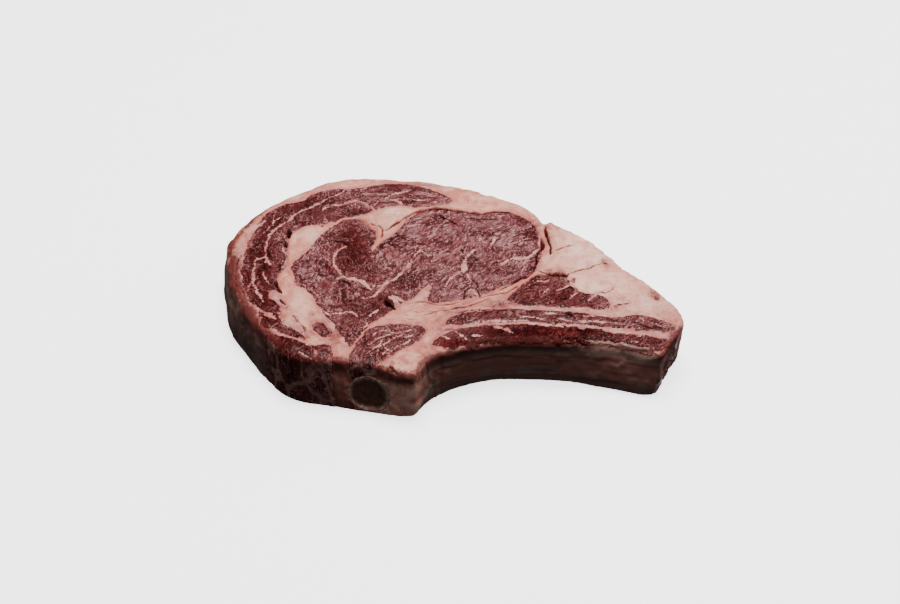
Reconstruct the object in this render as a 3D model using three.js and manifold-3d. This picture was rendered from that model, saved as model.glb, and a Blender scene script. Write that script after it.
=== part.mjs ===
// A raw rib steak on the bone: one rib with the meat round it, sawn off the rib roast.
//
// The steak lies on one cut face. X runs along the rib, from the thick back end to the thin tail,
// Y from the rib's inner side to the fat on the back, and Z up. The origin is the middle of the
// base. Sizes are in millimetres.
//
// The meat is cut across the grain, so each muscle is a column that runs from face to face. The
// fat is one web that holds the muscles apart, and the rib lies in it along the hollow inner side.
import * as THREE from "three";
import { mergeVertices } from "three/addons/utils/BufferGeometryUtils.js";
import Module from "manifold-3d";

const wasm = await Module();
wasm.setup();

// ---- Driving sizes ----
const THICKNESS = 36; // of the steak, measured at its edge
const CROWN = 1.6; // how far the top swells over the middle of the eye
const CROWN_AT = { x: -18, y: 14, reachX: 62, reachY: 46 };
// Two trains of low waves that the saw and the sagging meat leave: their height, how slowly they
// run along X and Y, and where they start.
const RIPPLES = [
  { height: 0.5, slowX: 19, slowY: 31, start: 0.7 },
  { height: 0.35, slowX: -37, slowY: 13, start: 0 },
];
// How far the top falls away towards the rib's inner side, over what width, and where along X the
// fall begins and is complete.
const RIB_SLOPE = { drop: 2.2, width: 16, from: -20, to: 20 };
// That side, seen from above, is a shallow parabola, which straightens out towards the backbone.
const RIB_SIDE = { x: 50, y: -58, bend: 0.0028, straight: -40, curved: 10 };
const BASE_ROUND = 2.5; // radius of the bottom edge
const MIDDLE = { x: -18, y: -6 }; // a point inside the outline that sees all of it
const PEAK = 40; // how far the uncut column rises over the top at that point
const GAP = 0.3; // clearance between neighbouring solids
const SEAM = 1.4; // the least fat between two muscles
const LEAN_STANDS = 0.5; // the lean stands this much above the fat, which shrinks as it chills
const OVERRUN = { below: 2, above: 8 }; // what a muscle's column has too much before it is cut
const BLOCK = { x: 300, y: 210 }; // a block larger than the steak, which cuts its top to height

const RIB_TOP = 28.5; // the strips of rib meat lie above this level, over the bone
const RIB_HEIGHT = 25; // of the bone's section, near its flat middle
const RIB_DEPTH = 16; // of the bone's section, across the flat
const RIB_HEAD = 26; // the bone is round at its sawn head, with this diameter
const RIB_LEVEL = 15; // height of the bone's centre line
const RIB_FLATTENS = { from: 0.08, to: 0.36 }; // shares of the bone's length, counted from the head

// ---- How finely each surface is divided ----
const EDGE_STEPS = 140;
const WALL_LEVELS = [0, 0.035, 0.07, 0.3, 0.6, 0.86, 0.92, 0.96, 0.985, 1];
const TOP_CELL = 11;
const MUSCLE_STEP = 4.2;
const BONE_STEPS = 22;
const BONE_SIDES = 20;

// ---- The outline of the top face ----
// Each point of the outline is [x, y, flare, bulge, round]: flare is how far the base stands outside
// the top there, bulge how far the wall swells between them, and round the radius of the top edge.
const OUTLINE = [
  // the sawn end of the tail
  [120, -69.5, -2.5, 0, 2],
  [126.5, -61, -6.5, 0.5, 2],
  [132.5, -51, -6, 0.5, 3],
  // the outer edge of the tail fat
  [135.5, -40.5, -3, 1, 4.5],
  [132, -30, -1, 1, 4.5],
  [125.5, -21.5, 0, 1.5, 4],
  [119.5, -13.5, 0, 1.5, 4],
  [108.5, -1, 0, 1.5, 4],
  [100, 7.5, 1, 2, 4],
  [92.5, 19.5, 1, 2, 4],
  [80.5, 32, 1, 2, 4.5],
  [68.5, 40.5, 1, 2, 4],
  [61.5, 46.5, 1, 1, 3],
  // the notch between the tail fat and the fat round the eye
  [57.5, 43.5, 0, 0.5, 2],
  [53, 52, 1, 1.5, 3],
  // the fat on the back
  [49, 60, 1, 2, 4.5],
  [38, 67, 1, 2.5, 5],
  [25, 74, 1, 2.5, 5],
  [8, 80.5, 1, 2.5, 5],
  [-12, 84.5, 1, 2.5, 5],
  [-31, 87, 1, 2.5, 5],
  [-49, 89, 1, 2.5, 5],
  [-64, 88.5, 2, 2.5, 5],
  [-78, 84, 2, 2.5, 5],
  [-89, 77, 3, 2.5, 5],
  [-101, 69, 3, 2.5, 5],
  [-112.5, 59, 4, 2.5, 5],
  [-122, 47, 4, 2.5, 5],
  [-129, 35, 4, 2, 5],
  [-132, 20, 3.5, 2, 5],
  [-130, 6, 4, 2, 4.5],
  [-127, -9, 5, 2, 4],
  [-122, -23, 4, 2, 4],
  [-115, -37, 3.5, 2, 3.5],
  [-106, -52, 3, 1, 3],
  // the sawn face by the backbone
  [-96, -65, 3, 0.5, 3],
  [-86, -73, 1.5, 0.5, 2.5],
  [-73, -76, 1.5, 0, 2],
  [-58, -78, 3, 0, 1.5],
  [-45, -80, 3.5, 0, 1.5],
  [-34, -84, 2, 0.5, 2],
  [-25, -88, -1, 0.5, 2.5],
  [-19, -88, -2.5, 0.5, 2.5],
  // the hollow inner side, along the rib
  [-15, -81.5, -1.5, 0.5, 2],
  [-9, -73.5, -1.5, 0, 2],
  [1, -68.5, -3, 0.5, 2],
  [12, -64, -3.5, 1, 2],
  [23, -60.5, -3.5, 1.2, 2],
  [36, -59, -3, 1.5, 2],
  [54, -59, -2.5, 1.5, 2],
  [72, -59, -0.5, 1.5, 2],
  [86, -60, 2.5, 1.2, 2],
  [99, -62.5, 3, 1, 2],
  [111, -66.5, 3, 0.5, 2],
];

// ---- The muscles, as they show on the top face ----
// drift is how far a column leans by the time it reaches the base.
const MUSCLES = {
  eye_muscle: {
    floor: 0,
    drift: [3, 2],
    outline: [
      // the left lobe
      [-94, 2], [-91, 9], [-84, 19], [-78, 31], [-71, 41], [-62, 48], [-54, 47], [-49, 40], [-44, 35],
      [-44.5, 27], [-47.5, 18],
      // the wedge of fat between the lobes, then the right lobe
      [-45, 16.5], [-42, 24], [-35, 30], [-30, 38], [-24, 48], [-17, 54], [-6, 57], [7, 54.5],
      [19, 51.5], [33, 56], [43, 51], [50, 44], [54, 33], [56, 22], [54, 11], [48, -2], [39, -10],
      [27, -17], [17, -23], [3, -26], [-12.5, -26.5], [-12, -19], [-10, -13], [-14, -13.5],
      [-20, -22.5], [-30, -30], [-37, -38], [-46, -47], [-53, -60],
      // the point at the backbone
      [-56.5, -66.5], [-59, -62], [-64, -53], [-70, -43], [-76, -31], [-83, -18], [-90, -13],
      [-91.5, -5],
    ],
  },
  cap_muscle: {
    floor: 0,
    drift: [2, -2],
    outline: [
      [-112, -31], [-119, -21], [-123, -8], [-124, 1], [-121, 14], [-120, 28], [-115, 42], [-109, 54],
      [-101, 60], [-90, 65], [-81, 73], [-71, 76], [-61, 76], [-49, 79], [-37, 81], [-24, 80],
      [-12, 76], [-3, 71],
      // the tip on the back, then home along the seam over the eye
      [2, 66], [-6, 61], [-18, 58], [-30, 60], [-44, 57], [-53, 52.5], [-63, 49.5], [-74, 44],
      [-88, 41], [-96, 34], [-97.5, 25], [-96.5, 16], [-96.3, 7], [-98, 0], [-101, -6], [-101, -18],
      [-105, -18.5], [-105.5, -24], [-101, -29], [-98, -37.5], [-105, -37],
    ],
  },
  feather_muscle: {
    floor: 0,
    drift: [2, -1],
    outline: [
      [-109, -41], [-101, -42], [-94, -46], [-86, -53], [-82, -57.5], [-88, -58.5], [-97, -53],
      [-106, -49],
    ],
  },
  chine_end_muscle: {
    floor: 0,
    drift: [1, 0],
    outline: [
      [-105, -52.5], [-96, -56], [-88, -61.5], [-80, -65], [-70, -63.5], [-67, -66], [-66.5, -76],
      [-68, -84], [-82, -84], [-92, -76], [-102, -64],
    ],
  },
  tip_muscle: {
    floor: 0,
    drift: [1, 1],
    outline: [[-79, -47], [-75, -44.5], [-70, -48.5], [-67, -56], [-71, -58], [-77, -53]],
  },
  back_strap: {
    floor: 0,
    drift: [1, 1],
    outline: [
      [-51, -55], [-46, -50], [-37, -47.5], [-28, -45.5], [-20, -47.5], [-14, -49.5], [-16, -58],
      [-22, -64], [-30, -70], [-34, -75], [-41, -80], [-46, -88], [-56, -86], [-56, -72], [-53, -63],
    ],
  },
  side_muscle: {
    floor: 0,
    drift: [0, 2],
    outline: [
      [34, -26], [39, -18], [46, -9], [53, -3], [61, -4.5], [69, -5.5], [71, -12], [75, -17.5],
      [80, -20], [87, -20.5], [93, -25], [93, -32], [87, -33.5], [76, -31.5], [60, -31.5], [44, -30.5],
    ],
  },
  rib_meat_outer: {
    floor: RIB_TOP,
    drift: [0, 0],
    outline: [
      [-2, -46], [2, -39.5], [12, -36.5], [24, -35.5], [41, -35], [58, -35.5], [74, -37], [88, -40],
      [99, -40], [111, -38.5], [122, -42], [129, -48], [124, -52.5], [111, -50], [96, -47.5],
      [80, -46], [64, -45], [46, -44.5], [29, -44.7], [12, -46],
    ],
  },
  rib_meat_inner: {
    floor: RIB_TOP,
    drift: [0, 0],
    outline: [
      [-10, -63], [-4, -55.5], [8, -50.5], [22, -48], [41, -46.8], [56, -48], [70, -49.7], [86, -51.5],
      [104, -53.7], [118, -56], [126, -59.5], [122, -64.5], [112, -63.5], [100, -59.8], [86, -57.6],
      [68, -56.8], [50, -56.8], [34, -56.8], [20, -58.5], [8, -62], [-2, -65.5],
    ],
  },
};

// ---- The rib's centre line, seen from above: out of the sawn face and round to the tail ----
const RIB_PATH = [
  [-49, -94], [-46, -82], [-38, -69], [-22, -58.5], [0, -52], [25, -47.5], [50, -46], [75, -46.5],
  [100, -51], [124, -58], [142, -65],
];

// ---- Materials ----
const LEAN = new THREE.MeshStandardMaterial({ color: 0x74282c, roughness: 0.42, metalness: 0 });
const FAT = new THREE.MeshStandardMaterial({ color: 0xd3a99c, roughness: 0.5, metalness: 0 });
const BONE = new THREE.MeshStandardMaterial({ color: 0xa98f7c, roughness: 0.6, metalness: 0 });

const smoothstep = THREE.MathUtils.smoothstep;

// A closed smooth curve through [x, y] points.
function closedCurve(points) {
  const path = points.map(([x, y]) => new THREE.Vector3(x, y, 0));
  return new THREE.CatmullRomCurve3(path, true, "centripetal");
}

// The unit vector that points out of a closed curve, which runs anticlockwise, at t.
function outwards(curve, t) {
  const tangent = curve.getTangent(t);
  return new THREE.Vector2(tangent.y, -tangent.x).normalize();
}

// Anticlockwise points a step apart along a closed curve, moved outwards by grow.
function outlinePoints(points, step, grow) {
  const curve = closedCurve(points);
  const count = Math.round(curve.getLength() / step);
  const flat = Array.from({ length: count }, (_, i) => curve.getPointAt(i / count));
  const side = THREE.ShapeUtils.area(flat) > 0 ? 1 : -1;
  return flat.map((p, i) => {
    const tangent = curve.getTangentAt(i / count);
    const out = new THREE.Vector2(tangent.y, -tangent.x).normalize().multiplyScalar(side * grow);
    return new THREE.Vector2(p.x + out.x, p.y + out.y);
  });
}

// ---- Between three.js meshes and solids that can be joined and cut ----
function toSolid(geometry) {
  const bare = new THREE.BufferGeometry();
  bare.setAttribute("position", geometry.getAttribute("position"));
  bare.setIndex(geometry.index);
  const merged = mergeVertices(bare, 1e-3);
  return new wasm.Manifold(
    new wasm.Mesh({
      numProp: 3,
      vertProperties: merged.getAttribute("position").array,
      triVerts: new Uint32Array(merged.index.array),
    }),
  );
}

function toMesh(name, solid, material) {
  const { vertProperties, triVerts, numProp, numVert } = solid.getMesh();
  const places = new Float32Array(numVert * 3);
  for (let i = 0; i < numVert; i++) {
    places.set(vertProperties.subarray(i * numProp, i * numProp + 3), i * 3);
  }
  const geometry = new THREE.BufferGeometry();
  geometry.setAttribute("position", new THREE.BufferAttribute(places, 3));
  geometry.setIndex(new THREE.BufferAttribute(triVerts, 1));
  geometry.computeVertexNormals();
  const mesh = new THREE.Mesh(geometry, material);
  mesh.name = name;
  return mesh;
}

// ---- The top face ----
const edge = closedCurve(OUTLINE);
const wallShape = new THREE.CatmullRomCurve3(
  OUTLINE.map(([, , flare, bulge, round]) => new THREE.Vector3(flare, bulge, round)),
  true,
);

// Height of the steak over a point of the table.
function topHeight(x, y) {
  const crown =
    CROWN *
    Math.exp(
      -(((x - CROWN_AT.x) / CROWN_AT.reachX) ** 2) - ((y - CROWN_AT.y) / CROWN_AT.reachY) ** 2,
    );
  const ripples = RIPPLES.map((wave) => wave.height * Math.sin(x / wave.slowX + y / wave.slowY + wave.start));
  const ripple = ripples.reduce((sum, height) => sum + height);
  const bend = RIB_SIDE.bend * smoothstep(x, RIB_SIDE.straight, RIB_SIDE.curved);
  const fromSide = y - (RIB_SIDE.y - bend * (x - RIB_SIDE.x) ** 2);
  const near = 1 - smoothstep(fromSide, 0, RIB_SLOPE.width);
  const slope = RIB_SLOPE.drop * near * smoothstep(x, RIB_SLOPE.from, RIB_SLOPE.to);
  return THICKNESS + crown + ripple - slope;
}

// A block whose top follows the steak's top face, to cut the outline's column to height.
function underTop(raise) {
  const block = new THREE.BoxGeometry(
    BLOCK.x,
    BLOCK.y,
    2 * THICKNESS,
    Math.round(BLOCK.x / TOP_CELL),
    Math.round(BLOCK.y / TOP_CELL),
    1,
  );
  const place = block.getAttribute("position");
  for (let i = 0; i < place.count; i++) {
    if (place.getZ(i) > 0) place.setZ(i, topHeight(place.getX(i), place.getY(i)) + raise);
  }
  return toSolid(block);
}

// How far the wall stands outside the top outline, at height h from 0, the base, to 1.
function wallOffset(flare, bulge, round, h) {
  const fromTop = Math.min(1, ((1 - h) * THICKNESS) / round);
  const fromBase = Math.min(1, (h * THICKNESS) / BASE_ROUND);
  const topEdge = round * (1 - Math.sqrt(1 - (1 - fromTop) ** 2));
  const baseEdge = BASE_ROUND * (1 - Math.sqrt(1 - (1 - fromBase) ** 2));
  return flare * (1 - h) + bulge * Math.sin(Math.PI * h) - topEdge - baseEdge;
}

// The whole steak, with nothing taken out: a cylinder whose wall is bent to the outline.
function column() {
  const levels = WALL_LEVELS.length - 1;
  const geometry = new THREE.CylinderGeometry(1, 1, levels, EDGE_STEPS, levels, false);
  const place = geometry.getAttribute("position");
  for (let i = 0; i < place.count; i++) {
    const h = WALL_LEVELS[Math.round(place.getY(i) + levels / 2)];
    if (Math.hypot(place.getX(i), place.getZ(i)) < 0.5) {
      // the middle of a cap; the upper one is a peak, which the block under the top cuts off
      place.setXYZ(i, MIDDLE.x, MIDDLE.y, h * (THICKNESS + PEAK));
      continue;
    }
    const turn = Math.atan2(-place.getZ(i), place.getX(i)) / (2 * Math.PI);
    const t = (Math.round(turn * EDGE_STEPS + EDGE_STEPS) % EDGE_STEPS) / EDGE_STEPS;
    const wall = wallShape.getPoint(t);
    const offset = wallOffset(wall.x, wall.y, wall.z, h);
    const spot = edge.getPoint(t);
    const out = outwards(edge, t);
    const x = spot.x + out.x * offset;
    const y = spot.y + out.y * offset;
    place.setXYZ(i, x, y, h * topHeight(x, y));
  }
  return toSolid(geometry);
}

// A muscle's column, or with grow the socket that it sits in.
function muscleColumn({ outline, floor, drift }, grow) {
  const shape = new THREE.Shape(outlinePoints(outline, MUSCLE_STEP, grow));
  const bottom = floor > 0 ? floor - grow : -OVERRUN.below;
  const height = THICKNESS + OVERRUN.above - bottom;
  const geometry = new THREE.ExtrudeGeometry(shape, { depth: height, bevelEnabled: false });
  const place = geometry.getAttribute("position");
  for (let i = 0; i < place.count; i++) {
    const z = bottom + place.getZ(i);
    const sink = 1 - z / THICKNESS;
    place.setXYZ(i, place.getX(i) + drift[0] * sink, place.getY(i) + drift[1] * sink, z);
  }
  return toSolid(geometry);
}

// The rib: a cylinder laid along its path, round at the head and flat along the tail.
function ribBar(grow) {
  const path = new THREE.CatmullRomCurve3(
    RIB_PATH.map(([x, y]) => new THREE.Vector3(x, y, RIB_LEVEL)),
  );
  const geometry = new THREE.CylinderGeometry(1, 1, 1, BONE_SIDES, BONE_STEPS, false);
  const place = geometry.getAttribute("position");
  for (let i = 0; i < place.count; i++) {
    const t = place.getY(i) + 0.5;
    const centre = path.getPointAt(t);
    const ahead = path.getTangentAt(t);
    const flat = smoothstep(t, RIB_FLATTENS.from, RIB_FLATTENS.to);
    const across = THREE.MathUtils.lerp(RIB_HEAD, RIB_DEPTH, flat) / 2 + grow;
    const tall = THREE.MathUtils.lerp(RIB_HEAD, RIB_HEIGHT, flat) / 2 + grow;
    const side = place.getX(i) * across;
    place.setXYZ(
      i,
      centre.x + ahead.y * side,
      centre.y - ahead.x * side,
      centre.z + place.getZ(i) * tall,
    );
  }
  return toSolid(geometry);
}

// ---- The steak ----
const whole = column();
const fatTop = underTop(0);
const leanTop = underTop(LEAN_STANDS);
const boneSocket = ribBar(GAP);

let fat = whole.intersect(fatTop).subtract(boneSocket);
const steak = new THREE.Group();
const placed = [];
for (const [name, muscle] of Object.entries(MUSCLES)) {
  let lean = muscleColumn(muscle, 0).intersect(whole).intersect(leanTop).subtract(boneSocket);
  let socket = muscleColumn(muscle, GAP);
  for (const neighbour of placed) {
    lean = lean.subtract(muscleColumn(neighbour, SEAM));
    socket = socket.subtract(muscleColumn(neighbour, SEAM - GAP));
  }
  placed.push(muscle);
  steak.add(toMesh(name, lean, LEAN));
  fat = fat.subtract(socket);
}
steak.add(toMesh("rib_bone", ribBar(0).intersect(whole), BONE));
steak.add(toMesh("fat", fat, FAT));

// The origin is the middle of the base.
const middle = new THREE.Box3().setFromObject(steak).getCenter(new THREE.Vector3());
steak.position.set(-middle.x, -middle.y, 0);

export default steak;
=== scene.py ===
# %% [markdown]
# # A raw rib steak on the bone
# A rib steak is one slice of the rib roast: a round, marbled eye, a cap of muscle that curls round
# its outside, small muscles along the rib, one web of fat that holds them apart, and the rib.
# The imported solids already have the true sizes. This lesson dresses them: the meat becomes one
# skin fine enough to carry grain and seams, and the colours follow from what lies where.

# %% Load the frame
import math
import bmesh
import bpy
import numpy as np
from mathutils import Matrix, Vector
from mathutils.bvhtree import BVHTree


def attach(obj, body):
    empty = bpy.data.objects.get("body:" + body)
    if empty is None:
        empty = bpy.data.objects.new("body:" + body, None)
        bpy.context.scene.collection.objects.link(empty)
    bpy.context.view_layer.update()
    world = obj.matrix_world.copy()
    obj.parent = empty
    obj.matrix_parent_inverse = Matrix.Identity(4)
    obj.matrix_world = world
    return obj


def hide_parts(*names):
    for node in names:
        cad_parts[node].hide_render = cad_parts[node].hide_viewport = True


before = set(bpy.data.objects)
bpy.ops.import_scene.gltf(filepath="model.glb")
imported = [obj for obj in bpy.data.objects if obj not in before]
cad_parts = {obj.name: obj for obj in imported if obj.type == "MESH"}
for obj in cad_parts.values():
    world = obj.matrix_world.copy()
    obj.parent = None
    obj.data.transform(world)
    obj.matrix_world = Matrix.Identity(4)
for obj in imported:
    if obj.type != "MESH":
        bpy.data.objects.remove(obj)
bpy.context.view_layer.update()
MM = 0.001

# %% [markdown]
# The camera stands where a cook's eye would be: in front of the rib side, looking down on the
# steak. A long lens keeps the far edge nearly as large as the near one.

# %% Camera
VIEW_FROM = math.radians(42)  # above the table
VIEW_DISTANCE = 1264.9 * MM
VIEW_TARGET = Vector((0.67, -8.98, 18)) * MM
LENS = 85  # the focal length in millimetres
FARTHEST_SEEN = 20  # metres

camera = bpy.data.objects.new("camera", bpy.data.cameras.new("camera"))
bpy.context.scene.collection.objects.link(camera)
camera.data.lens = LENS
camera.data.clip_end = FARTHEST_SEEN
camera.location = VIEW_TARGET + VIEW_DISTANCE * Vector((0, -math.cos(VIEW_FROM), math.sin(VIEW_FROM)))
camera.rotation_euler = (math.pi / 2 - VIEW_FROM, 0, 0)
bpy.context.scene.camera = camera
print("camera at", [round(c, 3) for c in camera.location])

# %% [markdown]
# One large soft light hangs above and a little behind, so that the wet top shines a little and
# the walls that face us fall into shade. A weak one beside and behind keeps the far walls from
# going black. The table is pale but throws no light back on the meat, which would lift that shade.

# %% Table and light
TABLE_REACH = 6  # metres from the middle to each edge
SKY = 0.07  # strength of the even light from all round
TABLE_GLOW = 2.5


def area_light(name, place, size, power):
    """A soft light of that size in metres and power in watts, turned toward the steak."""
    lamp = bpy.data.objects.new(name, bpy.data.lights.new(name, "AREA"))
    bpy.context.scene.collection.objects.link(lamp)
    lamp.data.shape = "RECTANGLE"
    lamp.data.size, lamp.data.size_y = size
    lamp.data.energy = power
    lamp.location = place
    lamp.rotation_euler = (VIEW_TARGET - Vector(place)).to_track_quat("-Z", "Y").to_euler()


area_light("soft_light_above", place=(0.05, 0.08, 1.55), size=(0.8, 0.5), power=35.5)
area_light("soft_light_beside", place=(1.0, 0.5, 0.55), size=(0.7, 0.5), power=6)

world = bpy.data.worlds.new("studio")
world.use_nodes = True
background = world.node_tree.nodes["Background"]
background.inputs["Color"].default_value = (1, 1, 1, 1)
background.inputs["Strength"].default_value = SKY
bpy.context.scene.world = world

table_mesh = bpy.data.meshes.new("table")
corners = [(x * TABLE_REACH, y * TABLE_REACH, 0) for x, y in ((-1, -1), (1, -1), (1, 1), (-1, 1))]
table_mesh.from_pydata(corners, [], [(0, 1, 2, 3)])
table = bpy.data.objects.new("table", table_mesh)
bpy.context.scene.collection.objects.link(table)
table.visible_diffuse = False
table.visible_glossy = False
table_paint = bpy.data.materials.new("pale_table")
table_paint.use_nodes = True
table_shader = table_paint.node_tree.nodes["Principled BSDF"]
table_shader.inputs["Base Color"].default_value = (0.93, 0.93, 0.93, 1)
table_shader.inputs["Roughness"].default_value = 0.8
table_shader.inputs["Emission Color"].default_value = (1, 1, 1, 1)
table_shader.inputs["Emission Strength"].default_value = TABLE_GLOW
table_mesh.materials.append(table_paint)

# %% [markdown]
# Both the relief and the colours are node trees, so a few short helpers keep them readable.
# Each one adds a node, plugs in numbers or other sockets, and hands back the socket to go on with.

# %% Helpers for node trees
def plug(tree, value, socket):
    if isinstance(value, bpy.types.NodeSocket):
        tree.links.new(value, socket)
    else:
        socket.default_value = value


def add(tree, kind, sockets=None, **settings):
    node = tree.nodes.new(kind)
    for name, value in settings.items():
        setattr(node, name, value)
    for key, value in (sockets or {}).items():
        plug(tree, value, node.inputs[key])
    return node


def maths(tree, operation, *values):
    node = add(tree, "ShaderNodeMath", operation=operation)
    for socket, value in zip(node.inputs, values):
        plug(tree, value, socket)
    return node.outputs[0]


def plus(tree, first, *others):
    for other in others:
        first = maths(tree, "ADD", first, other)
    return first


def minus(tree, a, b):
    return maths(tree, "SUBTRACT", a, b)


def times(tree, first, *others):
    for other in others:
        first = maths(tree, "MULTIPLY", first, other)
    return first


def vectors(tree, operation, *values):
    node = add(tree, "ShaderNodeVectorMath", operation=operation)
    for socket, value in zip(node.inputs, values):
        plug(tree, value, socket)
    return node.outputs["Value" if operation == "DOT_PRODUCT" else "Vector"]


def axes(tree, place):
    """The sockets X, Y and Z of a place."""
    return add(tree, "ShaderNodeSeparateXYZ", {0: place}).outputs


def from_axes(tree, x, y, z):
    return add(tree, "ShaderNodeCombineXYZ", {0: x, 1: y, 2: z}).outputs[0]


def step(tree, value, low, high, start=0.0, end=1.0):
    """A soft step: start up to low, end from high."""
    sockets = {"Value": value, "From Min": low, "From Max": high, "To Min": start, "To Max": end}
    return add(tree, "ShaderNodeMapRange", sockets, interpolation_type="SMOOTHSTEP").outputs[0]


def noise(tree, place, size, detail=2.0, rough=0.5, warp=0.0, colour=False):
    """Noise whose lumps are about size millimetres across."""
    sockets = {"Vector": place, "Scale": 1 / (size * MM), "Detail": detail, "Roughness": rough}
    sockets["Distortion"] = warp
    return add(tree, "ShaderNodeTexNoise", sockets).outputs["Color" if colour else "Fac"]


def wobble(tree, place, size, reach, detail=2.0, rough=0.5):
    """Noise about zero, from roughly -reach / 2 to reach / 2."""
    return times(tree, minus(tree, noise(tree, place, size, detail, rough), 0.5), reach)


def cells(tree, place, size, feature="F1"):
    """Round cells about size millimetres across, or the distance to their edges."""
    sockets = {"Vector": place, "Scale": 1 / (size * MM)}
    return add(tree, "ShaderNodeTexVoronoi", sockets, feature=feature).outputs["Distance"]


def tint(tree, factor, a, b, how="MIX"):
    node = add(tree, "ShaderNodeMix", data_type="RGBA", blend_type=how)
    for socket, value in ((0, factor), (6, a), (7, b)):
        if isinstance(value, tuple):
            value = (*value, 1)
        plug(tree, value, node.inputs[socket])
    return node.outputs[2]


def shaded(tree, colour, by):
    """The colour times another, channel by channel."""
    return tint(tree, 1.0, colour, by, "MULTIPLY")


print("helpers ready")

# %% [markdown]
# In the solids each muscle is a column with a hair of air round it. In the meat nothing parts
# them, so the muscles and the rib are pushed out a little, joined with the fat, and wrapped in one
# new skin of small even squares (a voxel remesh). The pieces are cut apart again at the end.

# %% One skin for all the flesh
SKIN_CELL = 1.1 * MM
OVERLAP = 0.45 * MM
STEEP = 0.3  # a normal's level length, from which a face counts as a wall
LEAN_NODES = sorted(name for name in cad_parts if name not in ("fat", "rib_bone"))


def merged(node):
    """A copy of a solid's mesh as bmesh, with its loose triangles sewn together."""
    bm = bmesh.new()
    bm.from_mesh(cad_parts[node].data)
    bmesh.ops.remove_doubles(bm, verts=bm.verts, dist=0.01 * MM)
    bm.normal_update()
    return bm


def push_out(bm, distance, upright):
    """Widens a solid. An upright one keeps its height."""
    for vertex in bm.verts:
        outwards = Vector((vertex.normal.x, vertex.normal.y, 0 if upright else vertex.normal.z))
        if outwards.length > STEEP:
            vertex.co += outwards.normalized() * distance


def object_from(bm, name):
    mesh = bpy.data.meshes.new(name)
    bm.to_mesh(mesh)
    obj = bpy.data.objects.new(name, mesh)
    bpy.context.scene.collection.objects.link(obj)
    return obj


def baked(obj):
    """The object with its modifiers turned into plain mesh."""
    depsgraph = bpy.context.evaluated_depsgraph_get()
    mesh = bpy.data.meshes.new_from_object(obj.evaluated_get(depsgraph), depsgraph=depsgraph)
    obj.modifiers.clear()
    obj.data = mesh
    mesh.name = obj.name
    return obj


def join_in(joined, part):
    """Adds one bmesh to another."""
    copy = bpy.data.meshes.new("part")
    part.to_mesh(copy)
    joined.from_mesh(copy)
    bpy.data.meshes.remove(copy)


def skin_of(nodes, name):
    joined = bmesh.new()
    for node in nodes:
        part = merged(node)
        push_out(part, 0 if node == "fat" else OVERLAP, upright=node in LEAN_NODES)
        join_in(joined, part)
    obj = object_from(joined, name)
    remesh = obj.modifiers.new("skin", "REMESH")
    remesh.mode = "VOXEL"
    remesh.voxel_size = SKIN_CELL
    relax = obj.modifiers.new("relax", "SMOOTH")
    relax.factor = 0.5
    relax.iterations = 2
    return baked(obj)


flesh = skin_of(["fat", "rib_bone", *LEAN_NODES], "flesh")
print("flesh skin:", len(flesh.data.polygons), "faces")

# %% [markdown]
# Where lean meets fat decides nearly every colour. The solids know it exactly: it is wherever a
# muscle's side faces the fat across that hair of air. Those faces are gathered into one guide
# surface, and the distance to it, counted as positive inside the lean, is stored on the skin.

# %% Guide surface between lean and fat
def lies_against(face, trees, reach=0.6 * MM):
    """Whether a face of one solid has a face of another right across the gap."""
    for tree in trees:
        place, normal, _, _ = tree.find_nearest(face.calc_center_median(), reach)
        if place is not None and normal.dot(face.normal) < -0.5:
            return True
    return False


def seam_faces(node, neighbours):
    bm = merged(node)
    trees = [BVHTree.FromBMesh(merged(other)) for other in neighbours]
    free = [face for face in bm.faces if not lies_against(face, trees)]
    bmesh.ops.delete(bm, geom=free, context="FACES")
    return bm


def seam_guide(name, nodes, neighbours):
    """A surface of all those faces; each of its points knows which way is out of the lean."""
    joined = bmesh.new()
    for node in nodes:
        join_in(joined, seam_faces(node, neighbours))
    obj = object_from(joined, name)
    outwards = [c for vertex in obj.data.vertices for c in vertex.normal]
    obj.data.attributes.new("outwards", "FLOAT_VECTOR", "POINT").data.foreach_set("vector", outwards)
    return obj


seams = seam_guide("lean_seams", LEAN_NODES, ["fat", "rib_bone"])
rib_sides = seam_guide("rib_sides", ["rib_bone"], ["fat", *LEAN_NODES])
print("seam faces:", len(seams.data.polygons), "and", len(rib_sides.data.polygons), "round the rib")

# %% [markdown]
# Inside the muscles run seams of fat, some as thick as a pencil line and some as fine as a hair,
# and the cap lets thin strips of lean out into the fat. None follows a formula, so each is a few
# points along its middle and the half width there, in millimetres, and a curve goes through them.

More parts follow.
